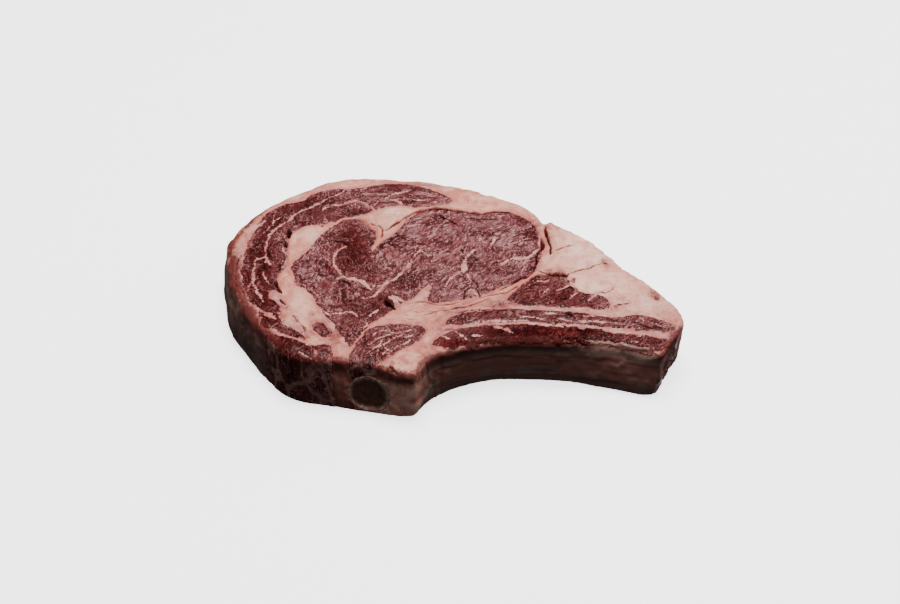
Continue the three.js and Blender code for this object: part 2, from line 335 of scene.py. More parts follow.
# %% Seams of fat in the lean
FAT_LINES = {
    "cap_main": (0.63, [
        (-109, 5), (-109.5, 12), (-109.5, 19.5), (-108.5, 28.5), (-107, 33.5), (-102, 40), (-97, 44.5),
        (-93.5, 51.5), (-88, 55.5), (-81.5, 60), (-74.5, 66), (-68, 69.5), (-63, 74.5)]),
    "cap_second": (0.6, [
        (-77.5, 54.5), (-74, 58), (-66, 60), (-57.5, 63.5), (-51.5, 61.5), (-47.5, 57), (-45.5, 52.5)]),
    "cap_right": (0.6, [(-46.5, 58), (-42.5, 63), (-36.5, 67.5), (-30, 70.5), (-23, 73.5)]),
    "cap_spur": (0.78, [(-36, 64), (-32.5, 63), (-30, 60.5), (-28, 56)]),
    "cap_level": (0.48, [(-31.5, 64.5), (-24, 64.5), (-15.5, 63.5), (-7.5, 61)]),
    "cap_fine": (0.27, [(-113.5, 30.5), (-110.5, 35), (-107, 42), (-103, 47.5), (-99.5, 50.5)]),
    "cap_fork": (0.27, [(-107, 39), (-107, 44.5), (-106.5, 49.5)]),
    "cap_bridge": (0.84, [(-115, 8.5), (-112, 9), (-109.5, 10), (-107.5, 5), (-105.5, 3)]),
    "cap_low": (0.78, [
        (-115, 9.5), (-115, 4), (-115.5, -2.5), (-115.5, -9.5), (-114, -16), (-111, -23),
        (-107.5, -31.5)]),
    "cap_low_fork": (0.36, [(-115.5, -11.5), (-117, -15), (-117.5, -21)]),
    "cap_tail": (0.42, [(-110, -4), (-107.5, -10.5), (-105.5, -14)]),
    "cap_patch": (1.44, [(-119.5, 34.5), (-116.5, 39), (-113, 42.5), (-112, 43.5)]),
    "rim_line": (0.81, [
        (-121, 37), (-123, 27.5), (-124, 17.5), (-123.5, 6.5), (-123.5, -2.5), (-122, -12.5),
        (-120, -20), (-116.5, -29), (-112.5, -34), (-110.5, -39.5)]),
    "gap_tissue": (0.9, [(-99.5, 18.5), (-97.5, 13), (-97, 5.5), (-97.5, 0)]),
    "prong_upper": (1.2, [(-105.5, -20), (-102, -23.5), (-98.5, -29), (-94, -36)]),
    "prong_lower": (2.16, [(-97, -44.5), (-92, -47), (-86.5, -51.5), (-82, -56.5)]),
    "chine_edge": (0.72, [(-105, -53), (-101.5, -52.5), (-96.5, -56), (-91.5, -60.5), (-85, -63)]),
    "chine_web_a": (0.48, [(-81.5, -66.5), (-78, -68), (-75.5, -72), (-74.5, -77)]),
    "chine_web_b": (0.42, [(-85, -72), (-81, -74.5), (-77.5, -76.5)]),
    "comma": (0.84, [
        (-61.5, 20.5), (-64.5, 17.5), (-67, 14), (-68.5, 8.5), (-68, 3), (-65.5, -1.5), (-63.5, -6)]),
    "bird_left": (0.54, [(-69, -11.5), (-66, -10), (-62.5, -8.5)]),
    "bird_body": (1.44, [(-63, -8), (-60.5, -8.5)]),
    "bird_right": (1.14, [(-60, -9.5), (-56, -10), (-51.5, -12.5), (-48.5, -15.5), (-45.5, -18.5)]),
    "bird_link": (0.48, [(-45.5, -17.5), (-43, -15.5), (-38.5, -15)]),
    "climb_low": (1.2, [(-43.5, -24.5), (-41, -20), (-38, -14.5), (-35, -12)]),
    "climb_mid": (1.02, [(-35, -12), (-31, -9.5), (-28.5, -5.5), (-25.5, 0), (-22, 5)]),
    "climb_high": (0.66, [(-22.5, 6.5), (-19.5, 11), (-16.5, 15)]),
    "climb_fork": (0.48, [(-16.5, 15), (-14, 11), (-10.5, 9.5)]),
    "climb_foot": (0.42, [(-51.5, -25.5), (-48, -26), (-43.5, -24.5)]),
    "finger_left": (1.68, [(-35, -25), (-32.5, -27), (-30.5, -30), (-29.5, -33.5)]),
    "finger_left_tip": (0.96, [(-32.5, -24), (-29, -27), (-26, -29)]),
    "finger_right": (1.92, [(-12, -17.5), (-13.5, -21), (-15.5, -25.5), (-19, -30)]),
    "island": (2.4, [(9.5, 5.5), (10, 0), (9, -4)]),
    "island_top": (0.96, [(10, 8.5), (12.5, 12), (15.5, 15)]),
    "island_leg": (1.02, [(6.5, -4), (3, -8), (0, -12), (-1.5, -16)]),
    "island_leg_b": (0.6, [(10.5, -5), (12, -9.5)]),
    "branch_right": (1.2, [
        (29.5, 2), (33.5, 5.5), (37.5, 8), (43.5, 9), (48.5, 11.5), (52, 15.5), (55, 18.5)]),
    "arc_right": (0.78, [(25, 15.5), (26, 22), (27.5, 26.5), (30, 27.5)]),
    "edge_pale": (0.48, [(33, 18.5), (37.5, 22), (43, 25), (47.5, 27.5)]),
    "sheath_right": (0.72, [(54.5, 29.5), (54, 23), (55, 18.5)]),
    "low_branch": (0.66, [(-67, -39.5), (-62.5, -39), (-58, -37.5), (-55, -39), (-52, -42)]),
    "low_curl": (0.42, [(-50, -45.5), (-47.5, -46), (-47, -49), (-49.5, -51.5)]),
    "low_rise": (0.54, [(-48, -43.5), (-45, -40), (-41, -36.5)]),
    "low_pale": (0.84, [(-71.5, -38.5), (-69.5, -40), (-68, -42)]),
    "tip_seam": (0.96, [
        (-74, -36), (-71, -43), (-67, -49.5), (-63.5, -56.5), (-60, -63), (-57.5, -69)]),
    "strap_a": (0.48, [
        (-43.5, -58), (-39.5, -54.5), (-35, -54.5), (-30.5, -56.5), (-25.5, -54.5), (-21, -53)]),
    "strap_b": (0.48, [
        (-37.5, -68), (-34.5, -64), (-31.5, -61.5), (-28, -59), (-23.5, -59), (-19, -56.5)]),
    "strap_c": (0.42, [(-46, -66.5), (-42.5, -63), (-39.5, -60.5), (-36, -59), (-32.5, -57)]),
    "strap_d": (0.48, [
        (-47, -74), (-44, -70.5), (-41.5, -68), (-37.5, -68), (-34.5, -70.5), (-31.5, -68)]),
    "strap_e": (0.42, [(-41, -75.5), (-40, -70.5), (-39, -65.5), (-37, -61.5)]),
    "strap_f": (0.48, [(-33, -72), (-29.5, -68), (-25.5, -65.5), (-21.5, -61.5)]),
    "strap_g": (0.42, [(-37.5, -74.5), (-35.5, -72.5), (-33.5, -74), (-34, -77)]),
    "side_a": (0.6, [(62.5, -20), (65.5, -18), (69.5, -15.5), (72, -12.5)]),
    "side_b": (0.6, [(71, -26.5), (74, -22), (75.5, -18.5)]),
    "side_c": (0.84, [(82, -28), (85, -23.5), (87.5, -21), (89.5, -20)]),
    "side_d": (0.54, [(51, -13), (54, -11.5), (57, -12.5), (59, -9.5)]),
    "side_e": (0.42, [(53, -24.5), (56, -22), (58.5, -18.5)]),
    "under_side": (0.96, [
        (31.5, -35), (38.5, -34.5), (48.5, -34), (57.5, -35.5), (70.5, -36), (82, -36.5), (91, -38)]),
    "between_strips": (0.78, [
        (-4.5, -51), (3.5, -51.5), (10.5, -49), (18, -47), (29.5, -46), (42, -46), (55.5, -49),
        (67, -50), (81, -49.5), (94, -51), (108.5, -51.5), (118.5, -54), (125.5, -57), (127.5, -60)]),
    "inner_lobe": (0.78, [(-7, -56.5), (-3, -58), (0.5, -60.5)]),
    "inner_slash": (0.6, [(3.5, -54), (7, -57), (10.5, -60)]),
    "inner_blob": (0.96, [(13.5, -57), (16.5, -57), (19.5, -57)]),
    "inner_pale": (0.96, [(26, -50.5), (29.5, -51.5), (33, -53), (36, -54.5)]),
    "outer_pale_a": (0.6, [(52.5, -41), (57.5, -40), (62, -40), (68, -40)]),
    "outer_pale_b": (0.6, [(62, -43.5), (67.5, -45), (74.5, -46.5), (82.5, -46)]),
    "outer_pale_c": (0.78, [(78.5, -42), (85, -41.5), (91, -41)]),
    "outer_pale_d": (0.48, [(41, -43), (47, -43), (55.5, -44.5)]),
    "outer_mid": (0.78, [(74.5, -45.5), (81.5, -46), (88.5, -46), (96.5, -47)]),
    "outer_end": (0.48, [(110.5, -43.5), (116, -46), (121.5, -49), (126, -51)]),
    "inner_end_a": (0.42, [(99, -56.5), (105, -56.5), (112.5, -57.5), (118.5, -60.5)]),
    "inner_end_b": (0.42, [(102.5, -60.5), (109, -61.5), (114.5, -63.5)]),
    "vessel": (2.4, [(11, -23.5), (13.5, -23), (16, -23.5)]),
}


def smooth_line(points, spacing=1.0):
    """Points about spacing apart on a Catmull-Rom curve through the given ones."""
    ends = [2 * np.array(points[0]) - points[1], 2 * np.array(points[-1]) - points[-2]]
    p = np.array([ends[0], *points, ends[1]], float)
    line = []
    for a, b, c, d in zip(p, p[1:], p[2:], p[3:]):
        for t in np.linspace(0, 1, max(2, round(np.linalg.norm(c - b) / spacing)), endpoint=False):
            line.append(0.5 * (2 * b + (c - a) * t + (2 * a - 5 * b + 4 * c - d) * t**2
                               + (3 * b - a - 3 * c + d) * t**3))
    return np.array([*line, p[-2]])


def line_guide(name, lines, thin_end=0.45):
    """A mesh of edges along the lines; each point knows its half width and its strength."""
    places, edges, widths, strengths = [], [], [], []
    for half_width, *strength, points in lines.values():
        line = smooth_line(points)
        along = np.linspace(0, 1, len(line))
        taper = thin_end + (1 - thin_end) * np.sqrt(np.sin(math.pi * along).clip(0))
        edges += [(len(places) + i, len(places) + i + 1) for i in range(len(line) - 1)]
        places += [(x * MM, y * MM, 0) for x, y in line]
        widths += list(half_width * taper)
        strengths += [strength[0] if strength else 1.0] * len(line)
    mesh = bpy.data.meshes.new(name)
    mesh.from_pydata(places, edges, [])
    for key, values in (("half_width", widths), ("strength", strengths)):
        mesh.attributes.new(key, "FLOAT", "POINT").data.foreach_set("value", values)
    obj = bpy.data.objects.new(name, mesh)
    bpy.context.scene.collection.objects.link(obj)
    return obj


fat_lines = line_guide("fat_lines", FAT_LINES)
print(len(FAT_LINES), "seams of fat,", len(fat_lines.data.vertices), "points")

# %% [markdown]
# Strips of lean are written down in the same way. Some lie apart, in the rim and the tail. Others
# lengthen or widen a muscle a little where its solid stops short.

# %% Strips of lean in the fat
LEAN_LINES = {
    "rim_strip": (1.2, [(-114, 47.5), (-109, 52), (-104, 54.5), (-98, 56.5)]),
    "rim_strip_high": (1.32, [(-92, 60.5), (-85.5, 64.5), (-78.5, 69.5), (-71.5, 72.5), (-66.5, 72.5)]),
    "rim_red": (1.2, [(-42, 78), (-33.5, 78.5), (-24.5, 77.5)]),
    "rim_blood": (0.9, [(-125, 11), (-125.5, 3), (-125.5, -6), (-124, -16)]),
    "tail_spot": (1.08, [(96, -32.5), (98.5, -31.5)]),
    "tail_streak": (0.42, [(94.5, -35), (99.5, -32), (104, -30.5)]),
    "outer_start": (1.08, [(24.5, -33.5), (28, -32.5), (31.5, -30.5)]),
    "edge_spot": (1.08, [(92, 5), (94, 5.5)]),
    "edge_red": (0.48, [(118.5, -20), (120.5, -24), (122, -28)]),
    "under_streak": (0.48, [(56, -33), (62, -34), (68, -33.5)]),
    "side_end": (1.92, [(90, -25.5), (90.5, -30), (89.5, -33.5)]),
    "side_lump": (1.32, [(79, -24.5), (82, -23.5)]),
    "chine_lean": (1.2, [(-54.5, -82), (-51, -81.5), (-47, -82)]),
    "outer_tip": (1.32, [(119, -45.5), (124, -48), (126, -49.5)]),
    "inner_wall_left": (2.76, [(-1, -65), (3.5, -64.5), (10, -63), (18, -61.5), (27.5, -59.5)]),
    "inner_wall": (2.76, [
        (27.5, -59.5), (38, -59.5), (49, -60), (61, -61), (70.5, -61.5), (79.5, -61)]),
    "chine_fill": (1.56, [(-103.5, -56), (-99, -57.5), (-94, -60.5), (-89.5, -64), (-85.5, -66.5)]),
    "side_low": (0.72, [(33, -31), (41.5, -31.5), (53, -32.5), (64.5, -33), (75, -33.5)]),
    "outer_high": (0.72, [(6, -38.5), (12.5, -37), (24, -36.5), (35.5, -37), (53, -38), (70, -39.5)]),
    "inner_upper": (3.24, [(55, -52.5), (64, -53), (72.5, -53.5), (82, -54), (90, -55)]),
    "tip_dark": (3.36, [
        (100, -57.5), (106, -58.5), (112, -60), (117.5, -61), (123, -63), (127, -64.5)]),
    "inner_start": (1.02, [(3.5, -53.5), (9.5, -52), (15, -51), (22.5, -49.5)]),
    "strap_top": (1.44, [(-44.5, -54), (-39, -51), (-32, -49.5), (-26, -50)]),
    "prong_gap": (0.96, [(-104, -28), (-101, -30.5), (-98, -35)]),
    "side_upper": (0.96, [(66.5, -9.5), (70, -10), (73, -11.5)]),
    "tail_corner": (2.64, [(127, -51.5), (129, -53), (131, -55)]),
    "tip_low": (1.44, [(115.5, -67.5), (119.5, -66.5), (124.5, -65)]),
    "lobe_left": (1.56, [(-109.5, -38.5), (-106, -43.5), (-102.5, -49.5)]),
    "chine_left": (1.44, [(-103.5, -36), (-100.5, -40), (-97.5, -45.5)]),
    "chine_rim": (1.56, [(-106, -57), (-101.5, -60), (-97, -62.5), (-91.5, -65.5)]),
    "inner_low": (0.84, [(61, -61.5), (72, -62), (84.5, -63), (97.5, -65), (108.5, -68), (117, -70.5)]),
    "outer_low": (0.72, [(72.5, -47), (85, -49), (98.5, -50), (110, -51.5), (118.5, -53)]),
    "outer_dark_end": (0.72, [(93, -44), (100, -43), (108, -42), (115, -44.5), (121.5, -48)]),
}
lean_lines = line_guide("lean_lines", LEAN_LINES)
print(len(LEAN_LINES), "strips of lean")

# %% [markdown]
# The meat has also parted here and there: along the upper edge of the eye, beside the thick seam
# on the left, and in the lump of fat by the tail. Each of these creases is a line too, with its
# half width and its depth.

# %% Creases
CREASES = {
    "notch": (0.66, 1.4, 1, [(58, 40), (58.5, 34.5), (59.5, 27.5), (60.5, 23), (61, 17.5), (60.5, 13)]),
    "slit": (1.56, 2.6, 1, [(57.5, -3.5), (60, -4), (63.5, -5), (67, -5.5), (71, -4.5)]),
    "slit_tail": (0.36, 0.7, 0.7, [(52, -0.5), (55, -2.5), (58.5, -3.5)]),
    "crack_a": (0.27, 0.6, 0.5, [(71, -4), (75, -2.5), (80, -0.5), (83.5, 0), (86, 2.5), (90.5, 4)]),
    "crack_b": (0.27, 0.6, 0.5, [(86, -21), (88.5, -19.5), (92, -20.5), (94.5, -19.5), (96.5, -16.5)]),
    "crack_c": (0.24, 0.3, 0.3, [(63.5, 16.5), (67, 18), (71, 20), (74.5, 21)]),
    "eye_top_left": (0.6, 0.9, 1, [
        (-38.5, 34), (-37, 35.5), (-34, 38.5), (-29, 43), (-24.5, 48), (-19.5, 52), (-13, 54)]),
    "eye_top": (1.2, 1.2, 1, [(-13, 54), (-5.5, 55), (3.5, 53), (11.5, 52.5), (20, 50)]),
    "eye_top_right": (0.84, 0.8, 1, [(20, 50), (25, 52), (31, 53), (38.5, 51.5)]),
    "eye_slash_a": (0.54, 0.8, 0.9, [(-6, 49.5), (-2, 45), (2, 42), (5, 37.5)]),
    "eye_slash_b": (0.48, 0.6, 0.8, [(7.5, 47.5), (11.5, 45.5), (19, 45), (26, 45.5), (30, 45.5)]),
    "eye_slash_c": (0.36, 0.5, 0.7, [(15.5, 45), (19, 43), (21.5, 40.5)]),
    "eye_right": (0.78, 1.1, 1, [(55, 27.5), (56, 23), (56, 18.5), (53.5, 14.5), (52, 9.5)]),
    "eye_right_low": (0.48, 0.8, 0.8, [
        (52, 9.5), (51.5, 4), (50, -2.5), (46, -7.5), (40.5, -11), (35.5, -16), (30, -19.5)]),
    "vessel_rim": (0.54, 1.3, 1, [
        (8.5, -27), (9, -24), (9.5, -22), (11, -20), (12.5, -18.5), (14, -18.5), (16, -19), (17, -21),
        (18, -23.5), (18, -25.5)]),
    "vessel_line": (0.3, 0.5, 0.7, [(13, -10.5), (15.5, -13), (17, -16.5), (18, -19.5)]),
    "hole_left": (1.44, 2.6, 1, [(-36.5, -28.5), (-35, -31), (-33, -34)]),
    "hole_left_foot": (0.6, 1.2, 1, [(-33, -34), (-30.5, -35.5)]),
    "lens_left": (0.36, 0.8, 0.7, [
        (-47.5, 42), (-45, 39.5), (-42.5, 39), (-40.5, 36), (-40, 32.5), (-41, 27.5)]),
    "gap_high": (1.32, 3, 1, [(-97, 37), (-96.5, 33.5), (-96, 29)]),
    "gap_mid": (1.02, 2.6, 1, [(-98.5, 26), (-97.5, 22.5), (-97.5, 19.5)]),
    "gap_low": (0.78, 2, 0.9, [(-98, 13), (-97.5, 7.5)]),
    "gap_foot": (0.54, 1.2, 0.9, [(-100, 3), (-99.5, -2.5)]),
    "gap_dot": (0.6, 1, 0.9, [(-78, 39.5), (-76, 40)]),
    "seam_cut": (0.96, 1.8, 0.9, [(-102.5, -14), (-100, -18.5), (-98, -22)]),
    "seam_nick": (0.54, 1.2, 0.8, [(-98.5, -27), (-96.5, -30.5), (-95, -32.5)]),
    "seam_hair": (0.24, 0.5, 0.5, [(-90, -42), (-87.5, -46), (-84.5, -49.5), (-82, -54)]),
    "lobe_fold_a": (0.6, 0.8, 0.8, [(-71.5, 26), (-68, 25), (-63.5, 24), (-60, 21.5)]),
    "lobe_fold_b": (0.36, 0.5, 0.6, [(-41.5, 21), (-38.5, 22), (-35.5, 20.5), (-33, 18.5)]),
    "lobe_fold_c": (0.36, 0.5, 0.6, [(-36, 23), (-33.5, 26.5), (-29.5, 29), (-25, 28.5)]),
    "bird_shadow": (0.6, 0.7, 0.7, [(-63, -11.5), (-59.5, -13), (-58, -16.5)]),
    "bird_under": (0.48, 0.6, 0.6, [(-52, -16.5), (-48.5, -18.5), (-45, -19.5)]),
    "climb_shadow": (0.54, 0.6, 0.7, [(-33.5, 2), (-31.5, -0.5)]),
    "short_cut": (0.48, 0.7, 0.8, [(7.5, 16.5), (8.5, 11)]),
    "curl_right": (0.3, 0.5, 0.6, [(17, -5.5), (19.5, -7), (20, -10.5)]),
    "side_loop_a": (0.3, 0.5, 0.6, [(72, -10.5), (74, -8.5), (74.5, -9.5), (73, -12.5)]),
    "side_loop_b": (0.3, 0.5, 0.6, [(65.5, -20), (69.5, -17.5), (74, -17), (75.5, -19.5), (72.5, -23)]),
    "side_under": (0.54, 0.8, 0.8, [(63.5, -25.5), (67, -27), (71, -26.5)]),
    "seam_line_a": (0.21, 0.35, 0.3, [
        (-14, -40), (-7.5, -38), (0.5, -36), (10, -34.5), (17, -30.5), (23.5, -27.5)]),
    "seam_line_b": (0.21, 0.35, 0.3, [
        (-20.5, -30.5), (-16, -29), (-10, -30.5), (-3, -32), (5.5, -30.5)]),
    "seam_line_c": (0.21, 0.35, 0.3, [(21.5, -25.5), (28, -23.5), (35, -21), (40.5, -16.5)]),
    "outer_fold": (0.3, 0.5, 0.6, [(62.5, -42.5), (65.5, -40), (70, -40.5), (73, -44)]),
    "outer_fold_b": (0.42, 0.6, 0.8, [(105.5, -46), (111, -48), (116.5, -51.5)]),
    "outer_knot": (0.3, 0.4, 0.4, [(59.5, -48), (61, -49), (62.5, -47.5), (62, -46)]),
    "bone_notch": (0.6, 1, 0.8, [(-33.5, -83.5), (-31.5, -86), (-28.5, -88.5)]),
}
creases = line_guide("creases", CREASES, thin_end=0.2)
print(len(CREASES), "creases")

# %% [markdown]
# The rounded edge of the upper face has its own colours: brown where the membrane of the rib
# wraps over it, dark red where blood has gathered, and darker all along as painted shade, since
# the rim turns away from the light. These lines run along that edge, and their second number
# says how red each is.

# %% Edges
EDGE_LINES = {
    "rib": (3.24, 0.2, [
        (-15.5, -81), (-9.5, -76), (-1.5, -72), (6.5, -68.5), (18, -65), (29, -63), (40.5, -62),
        (52, -62), (63.5, -63), (75, -64.5), (86, -66.5), (98.5, -70), (111.5, -73.5), (119.5, -76)]),
    "corner": (1.92, 0.7, [(-40.5, -84), (-34, -86.5), (-27.5, -89.5), (-20, -89.5)]),
    "corner_side": (1.2, 0.3, [(-19.5, -89.5), (-17, -85.5), (-14, -80)]),
    "seam_foot": (2.04, 1, [(-66, -76.5), (-61.5, -79), (-56.5, -79)]),
    "chine": (2.04, 0.9, [(-84.5, -76), (-79.5, -77.5), (-74, -78.5), (-67, -79.5)]),
    "left_low": (2.64, 0.8, [
        (-120.5, -25), (-116, -35.5), (-111, -45), (-105.5, -53.5), (-100.5, -59.5), (-96, -64.5)]),
    "left_high": (2.76, 0.7, [(-129, 12.5), (-128, 1.5), (-126, -9), (-123, -18), (-119.5, -26.5)]),
    "left_top": (1.44, 0.5, [(-125.5, 32), (-121.5, 41.5), (-115.5, 52), (-108, 60.5)]),
    "left_nodule": (1.68, 0.9, [(-130, 12.5), (-130, 20), (-128.5, 26.5), (-125.5, 32)]),
    "tail": (1.92, 0.9, [(120.5, -71), (124, -67), (126.5, -62), (128.5, -57.5), (130, -54)]),
}
edges = line_guide("edges", EDGE_LINES)
print(len(EDGE_LINES), "stretches of edge")

# %% [markdown]
# The first two Geometry Nodes trees measure. For every point of the skin they find the nearest
# place on a guide, lines for one tree and a surface for the other, and store the distance in
# millimetres. Real seams waver, so the point is first shifted a little by noise. An input names
# the guide and another the stored value, so the same trees serve every guide.

# %% Helpers for geometry trees
def socket(tree, name, kind, value=None, way="INPUT"):
    made = tree.interface.new_socket(name, in_out=way, socket_type="NodeSocket" + kind)
    if value is not None:
        made.default_value = value
    return made


def new_tree(name, inputs):
    """A geometry tree with a Geometry input and output, and the named inputs."""
    tree = bpy.data.node_groups.new(name, "GeometryNodeTree")
    socket(tree, "Geometry", "Geometry")
    for key, (kind, value) in inputs.items():
        socket(tree, key, kind, value)
    socket(tree, "Geometry", "Geometry", way="OUTPUT")
    return tree, tree.nodes.new("NodeGroupInput").outputs, tree.nodes.new("NodeGroupOutput")


def attribute(tree, name, kind="FLOAT"):
    return add(tree, "GeometryNodeInputNamedAttribute", {"Name": name}, data_type=kind).outputs[0]


def store(tree, geometry, name, value):
    sockets = {"Geometry": geometry, "Name": name, "Value": value}
    return add(tree, "GeometryNodeStoreNamedAttribute", sockets, data_type="FLOAT").outputs[0]


def target(tree, obj):
    return add(tree, "GeometryNodeObjectInfo", {"Object": obj}).outputs["Geometry"]


print("geometry helpers ready")

# %% [markdown]
# Both trees count a distance as positive inside, be it a line or the lean, and as negative
# outside. A line swells and shrinks along its way. At a seam, the stored way out of the lean
# tells one side from the other.

# %% Node trees that measure the skin
THINNEST, THICKEST = 0.35, 1.45  # how a line's half width varies along it
EDGE_THINNEST = 0.85  # the coloured edges vary less


def longer(tree, vector, factor):
    return add(tree, "ShaderNodeVectorMath", {0: vector, "Scale": factor}, operation="SCALE").outputs[0]


def wavering_place(tree, waver):
    """The point's place, shifted by up to about waver millimetres."""
    place = add(tree, "GeometryNodeInputPosition").outputs[0]
    shift = noise(tree, place, 4.5, detail=4, rough=0.6, colour=True)
    shift = vectors(tree, "SUBTRACT", shift, (0.5, 0.5, 0.5))
    return vectors(tree, "ADD", place, longer(tree, shift, times(tree, waver, 4 * MM)))


def nearest(tree, guide, place, kind):
    """The node that finds the nearest of the guide's edges or faces."""
    sockets = {"Target": guide, "Source Position": place}
    return add(tree, "GeometryNodeProximity", sockets, target_element=kind)


def build_line_measure():
    inputs = {"Lines": ("Object", None), "Waver": ("Float", 0.8), "Thinnest": ("Float", THINNEST),
              "Reach name": ("String", "reach"), "Strength name": ("String", "strength")}
    tree, given, out = new_tree("measure_lines", inputs)
    lines = target(tree, given["Lines"])
    flat = vectors(tree, "MULTIPLY", wavering_place(tree, given["Waver"]), (1, 1, 0))
    near = nearest(tree, lines, flat, "EDGES")
    index = add(tree, "GeometryNodeSampleNearest", {"Geometry": lines, "Sample Position": flat}).outputs[0]

    def at_nearest(name):
        sockets = {"Geometry": lines, "Value": attribute(tree, name), "Index": index}
        return add(tree, "GeometryNodeSampleIndex", sockets).outputs[0]

    distance = maths(tree, "DIVIDE", near.outputs["Distance"], MM)
    swelling = step(tree, noise(tree, flat, 5, detail=2), 0.3, 0.68, given["Thinnest"], THICKEST)
    half_width = times(tree, at_nearest("half_width"), swelling)
    inside = minus(tree, half_width, distance)
    geometry = store(tree, given["Geometry"], given["Reach name"], inside)
    geometry = store(tree, geometry, given["Strength name"], at_nearest("strength"))
    tree.links.new(geometry, out.inputs[0])
    return tree


def build_seam_measure():
    inputs = {"Seams": ("Object", None), "Waver": ("Float", 0.35), "Reach name": ("String", "reach")}
    tree, given, out = new_tree("measure_seams", inputs)
    seam = target(tree, given["Seams"])
    moved = wavering_place(tree, given["Waver"])
    near = nearest(tree, seam, moved, "FACES")
    facing = add(tree, "GeometryNodeSampleNearestSurface", data_type="FLOAT_VECTOR")
    plug(tree, seam, facing.inputs["Mesh"])
    plug(tree, attribute(tree, "outwards", "FLOAT_VECTOR"), facing.inputs["Value"])
    plug(tree, moved, facing.inputs["Sample Position"])
    away = vectors(tree, "SUBTRACT", moved, near.outputs["Position"])
    side = maths(tree, "SIGN", vectors(tree, "DOT_PRODUCT", away, facing.outputs[0]))
    distance = maths(tree, "DIVIDE", near.outputs["Distance"], MM)
    signed = times(tree, distance, side, -1.0)
    tree.links.new(store(tree, given["Geometry"], given["Reach name"], signed), out.inputs[0])
    return tree


def run_tree(obj, tree, **values):
    """Puts the tree on obj with these inputs."""
    modifier = obj.modifiers.new(tree.name, "NODES")
    modifier.node_group = tree
    for item in tree.interface.items_tree:
        key = item.name.replace(" ", "_").lower()
        if item.in_out == "INPUT" and key in values:
            modifier[item.identifier] = values[key]


line_measure = build_line_measure()
seam_measure = build_seam_measure()


def measure(obj):
    run_tree(obj, seam_measure, seams=seams, waver=0.9, reach_name="seam_mm")
    run_tree(obj, seam_measure, seams=rib_sides, waver=0.3, reach_name="bone_mm")
    guides = {"fat_line": fat_lines, "lean_line": lean_lines, "crease": creases, "edge": edges}
    for name, lines in guides.items():
        thinnest = EDGE_THINNEST if name == "edge" else THINNEST
        names = {"reach_name": name + "_mm", "strength_name": name + "_strength"}
        run_tree(obj, line_measure, lines=lines, thinnest=thinnest, **names)
    return baked(obj)


measure(flesh)
print("measured", len(flesh.data.vertices), "points")

# %% [markdown]
# The lean and the seams need cells half as large on the upper face, where the grain shows. Smooth
# fat doesn't. So only the faces near lean or a crease are split, and the skin is measured again.

# %% Finer cells where the grain shows
FINE_ABOVE = 26 * MM
FACES_UP = 0.35  # a normal's height, from which a face belongs to the upper side
FINE_REACH = {"seam_mm": -2.6, "fat_line_mm": -1.5, "lean_line_mm": -1.5, "crease_mm": -1.2}


def split_near_detail(obj):
    bm = bmesh.new()
    bm.from_mesh(obj.data)
    layers = {bm.verts.layers.float[name]: least for name, least in FINE_REACH.items()}
    close = {v for v in bm.verts if any(v[layer] > least for layer, least in layers.items())}
    upper = [f for f in bm.faces if f.normal.z > FACES_UP and f.calc_center_median().z > FINE_ABOVE
             and not close.isdisjoint(f.verts)]
    edges_there = {edge for face in upper for edge in face.edges}
    bmesh.ops.subdivide_edges(bm, edges=list(edges_there), cuts=1, use_grid_fill=True)
    bm.to_mesh(obj.data)


split_near_detail(flesh)
measure(flesh)
print("flesh skin:", len(flesh.data.polygons), "faces")

# %% [markdown]
# Lean is bundles of fibre, and this cut goes across them, so its face is a pavement of small
# ridges with gaps between them. Cells give that: their edges are the gaps. They are drawn out
# along y and bent by two noises, as the fibres lean one way here and another there. The relief
# and the colours both call this function, so the gaps are painted dark, as shade, just where
# they are deep.

# %% Bundles of fibre
BUNDLE = 2.8  # millimetres across
STRAIGHT_AT, SLANTED_AT, SLANT = -60 * MM, 0.0, 0.75  # upright on the left, leaning on the right
DRAWN_OUT = 0.62  # less than 1 makes the bundles longer along y
FINE_BUNDLES = 2.1  # times smaller than the coarse ones


def bent(tree, place, size, reach):
    """The place, moved by up to about reach millimetres by a noise with lumps of that size."""
    shift = vectors(tree, "SUBTRACT", noise(tree, place, size, 1, colour=True), (0.5, 0.5, 0.5))
    return vectors(tree, "ADD", place, vectors(tree, "MULTIPLY", shift, (2 * reach * MM,) * 3))


def fibre_place(tree, place):
    """The place, moved so that bundles which lean and are drawn out come out round."""
    spot = axes(tree, bent(tree, bent(tree, place, 24, 6), 4, 1.2))
    slant = step(tree, spot["X"], STRAIGHT_AT, SLANTED_AT, 0.0, SLANT)
    across = minus(tree, spot["X"], times(tree, spot["Y"], slant))
    return from_axes(tree, across, times(tree, spot["Y"], DRAWN_OUT), times(tree, spot["Z"], 0.3))


def fibre_bundles(tree, place, size=BUNDLE):
    """From 0 in a gap between bundles to 1 on their ridges."""
    drawn_out = fibre_place(tree, place)
    ridges = []
    for finer, gap, share in ((1, 0.3, 0.62), (FINE_BUNDLES, 0.35, 0.38)):
        sockets = {"Vector": drawn_out, "Scale": maths(tree, "DIVIDE", finer / MM, size)}
        from_gap = add(tree, "ShaderNodeTexVoronoi", sockets, feature="DISTANCE_TO_EDGE").outputs["Distance"]
        ridges.append(times(tree, step(tree, from_gap, 0.0, gap), share))
    return plus(tree, *ridges)


def along_seams(tree, place, lean_mm):
    """A place measured from the seam instead of from the table, so noise on it runs along seams."""
    spot = axes(tree, vectors(tree, "MULTIPLY", place, (0.16,) * 3))
    return from_axes(tree, spot["X"], spot["Y"], times(tree, lean_mm, MM))


print("bundles of fibre:", BUNDLE, "mm across")
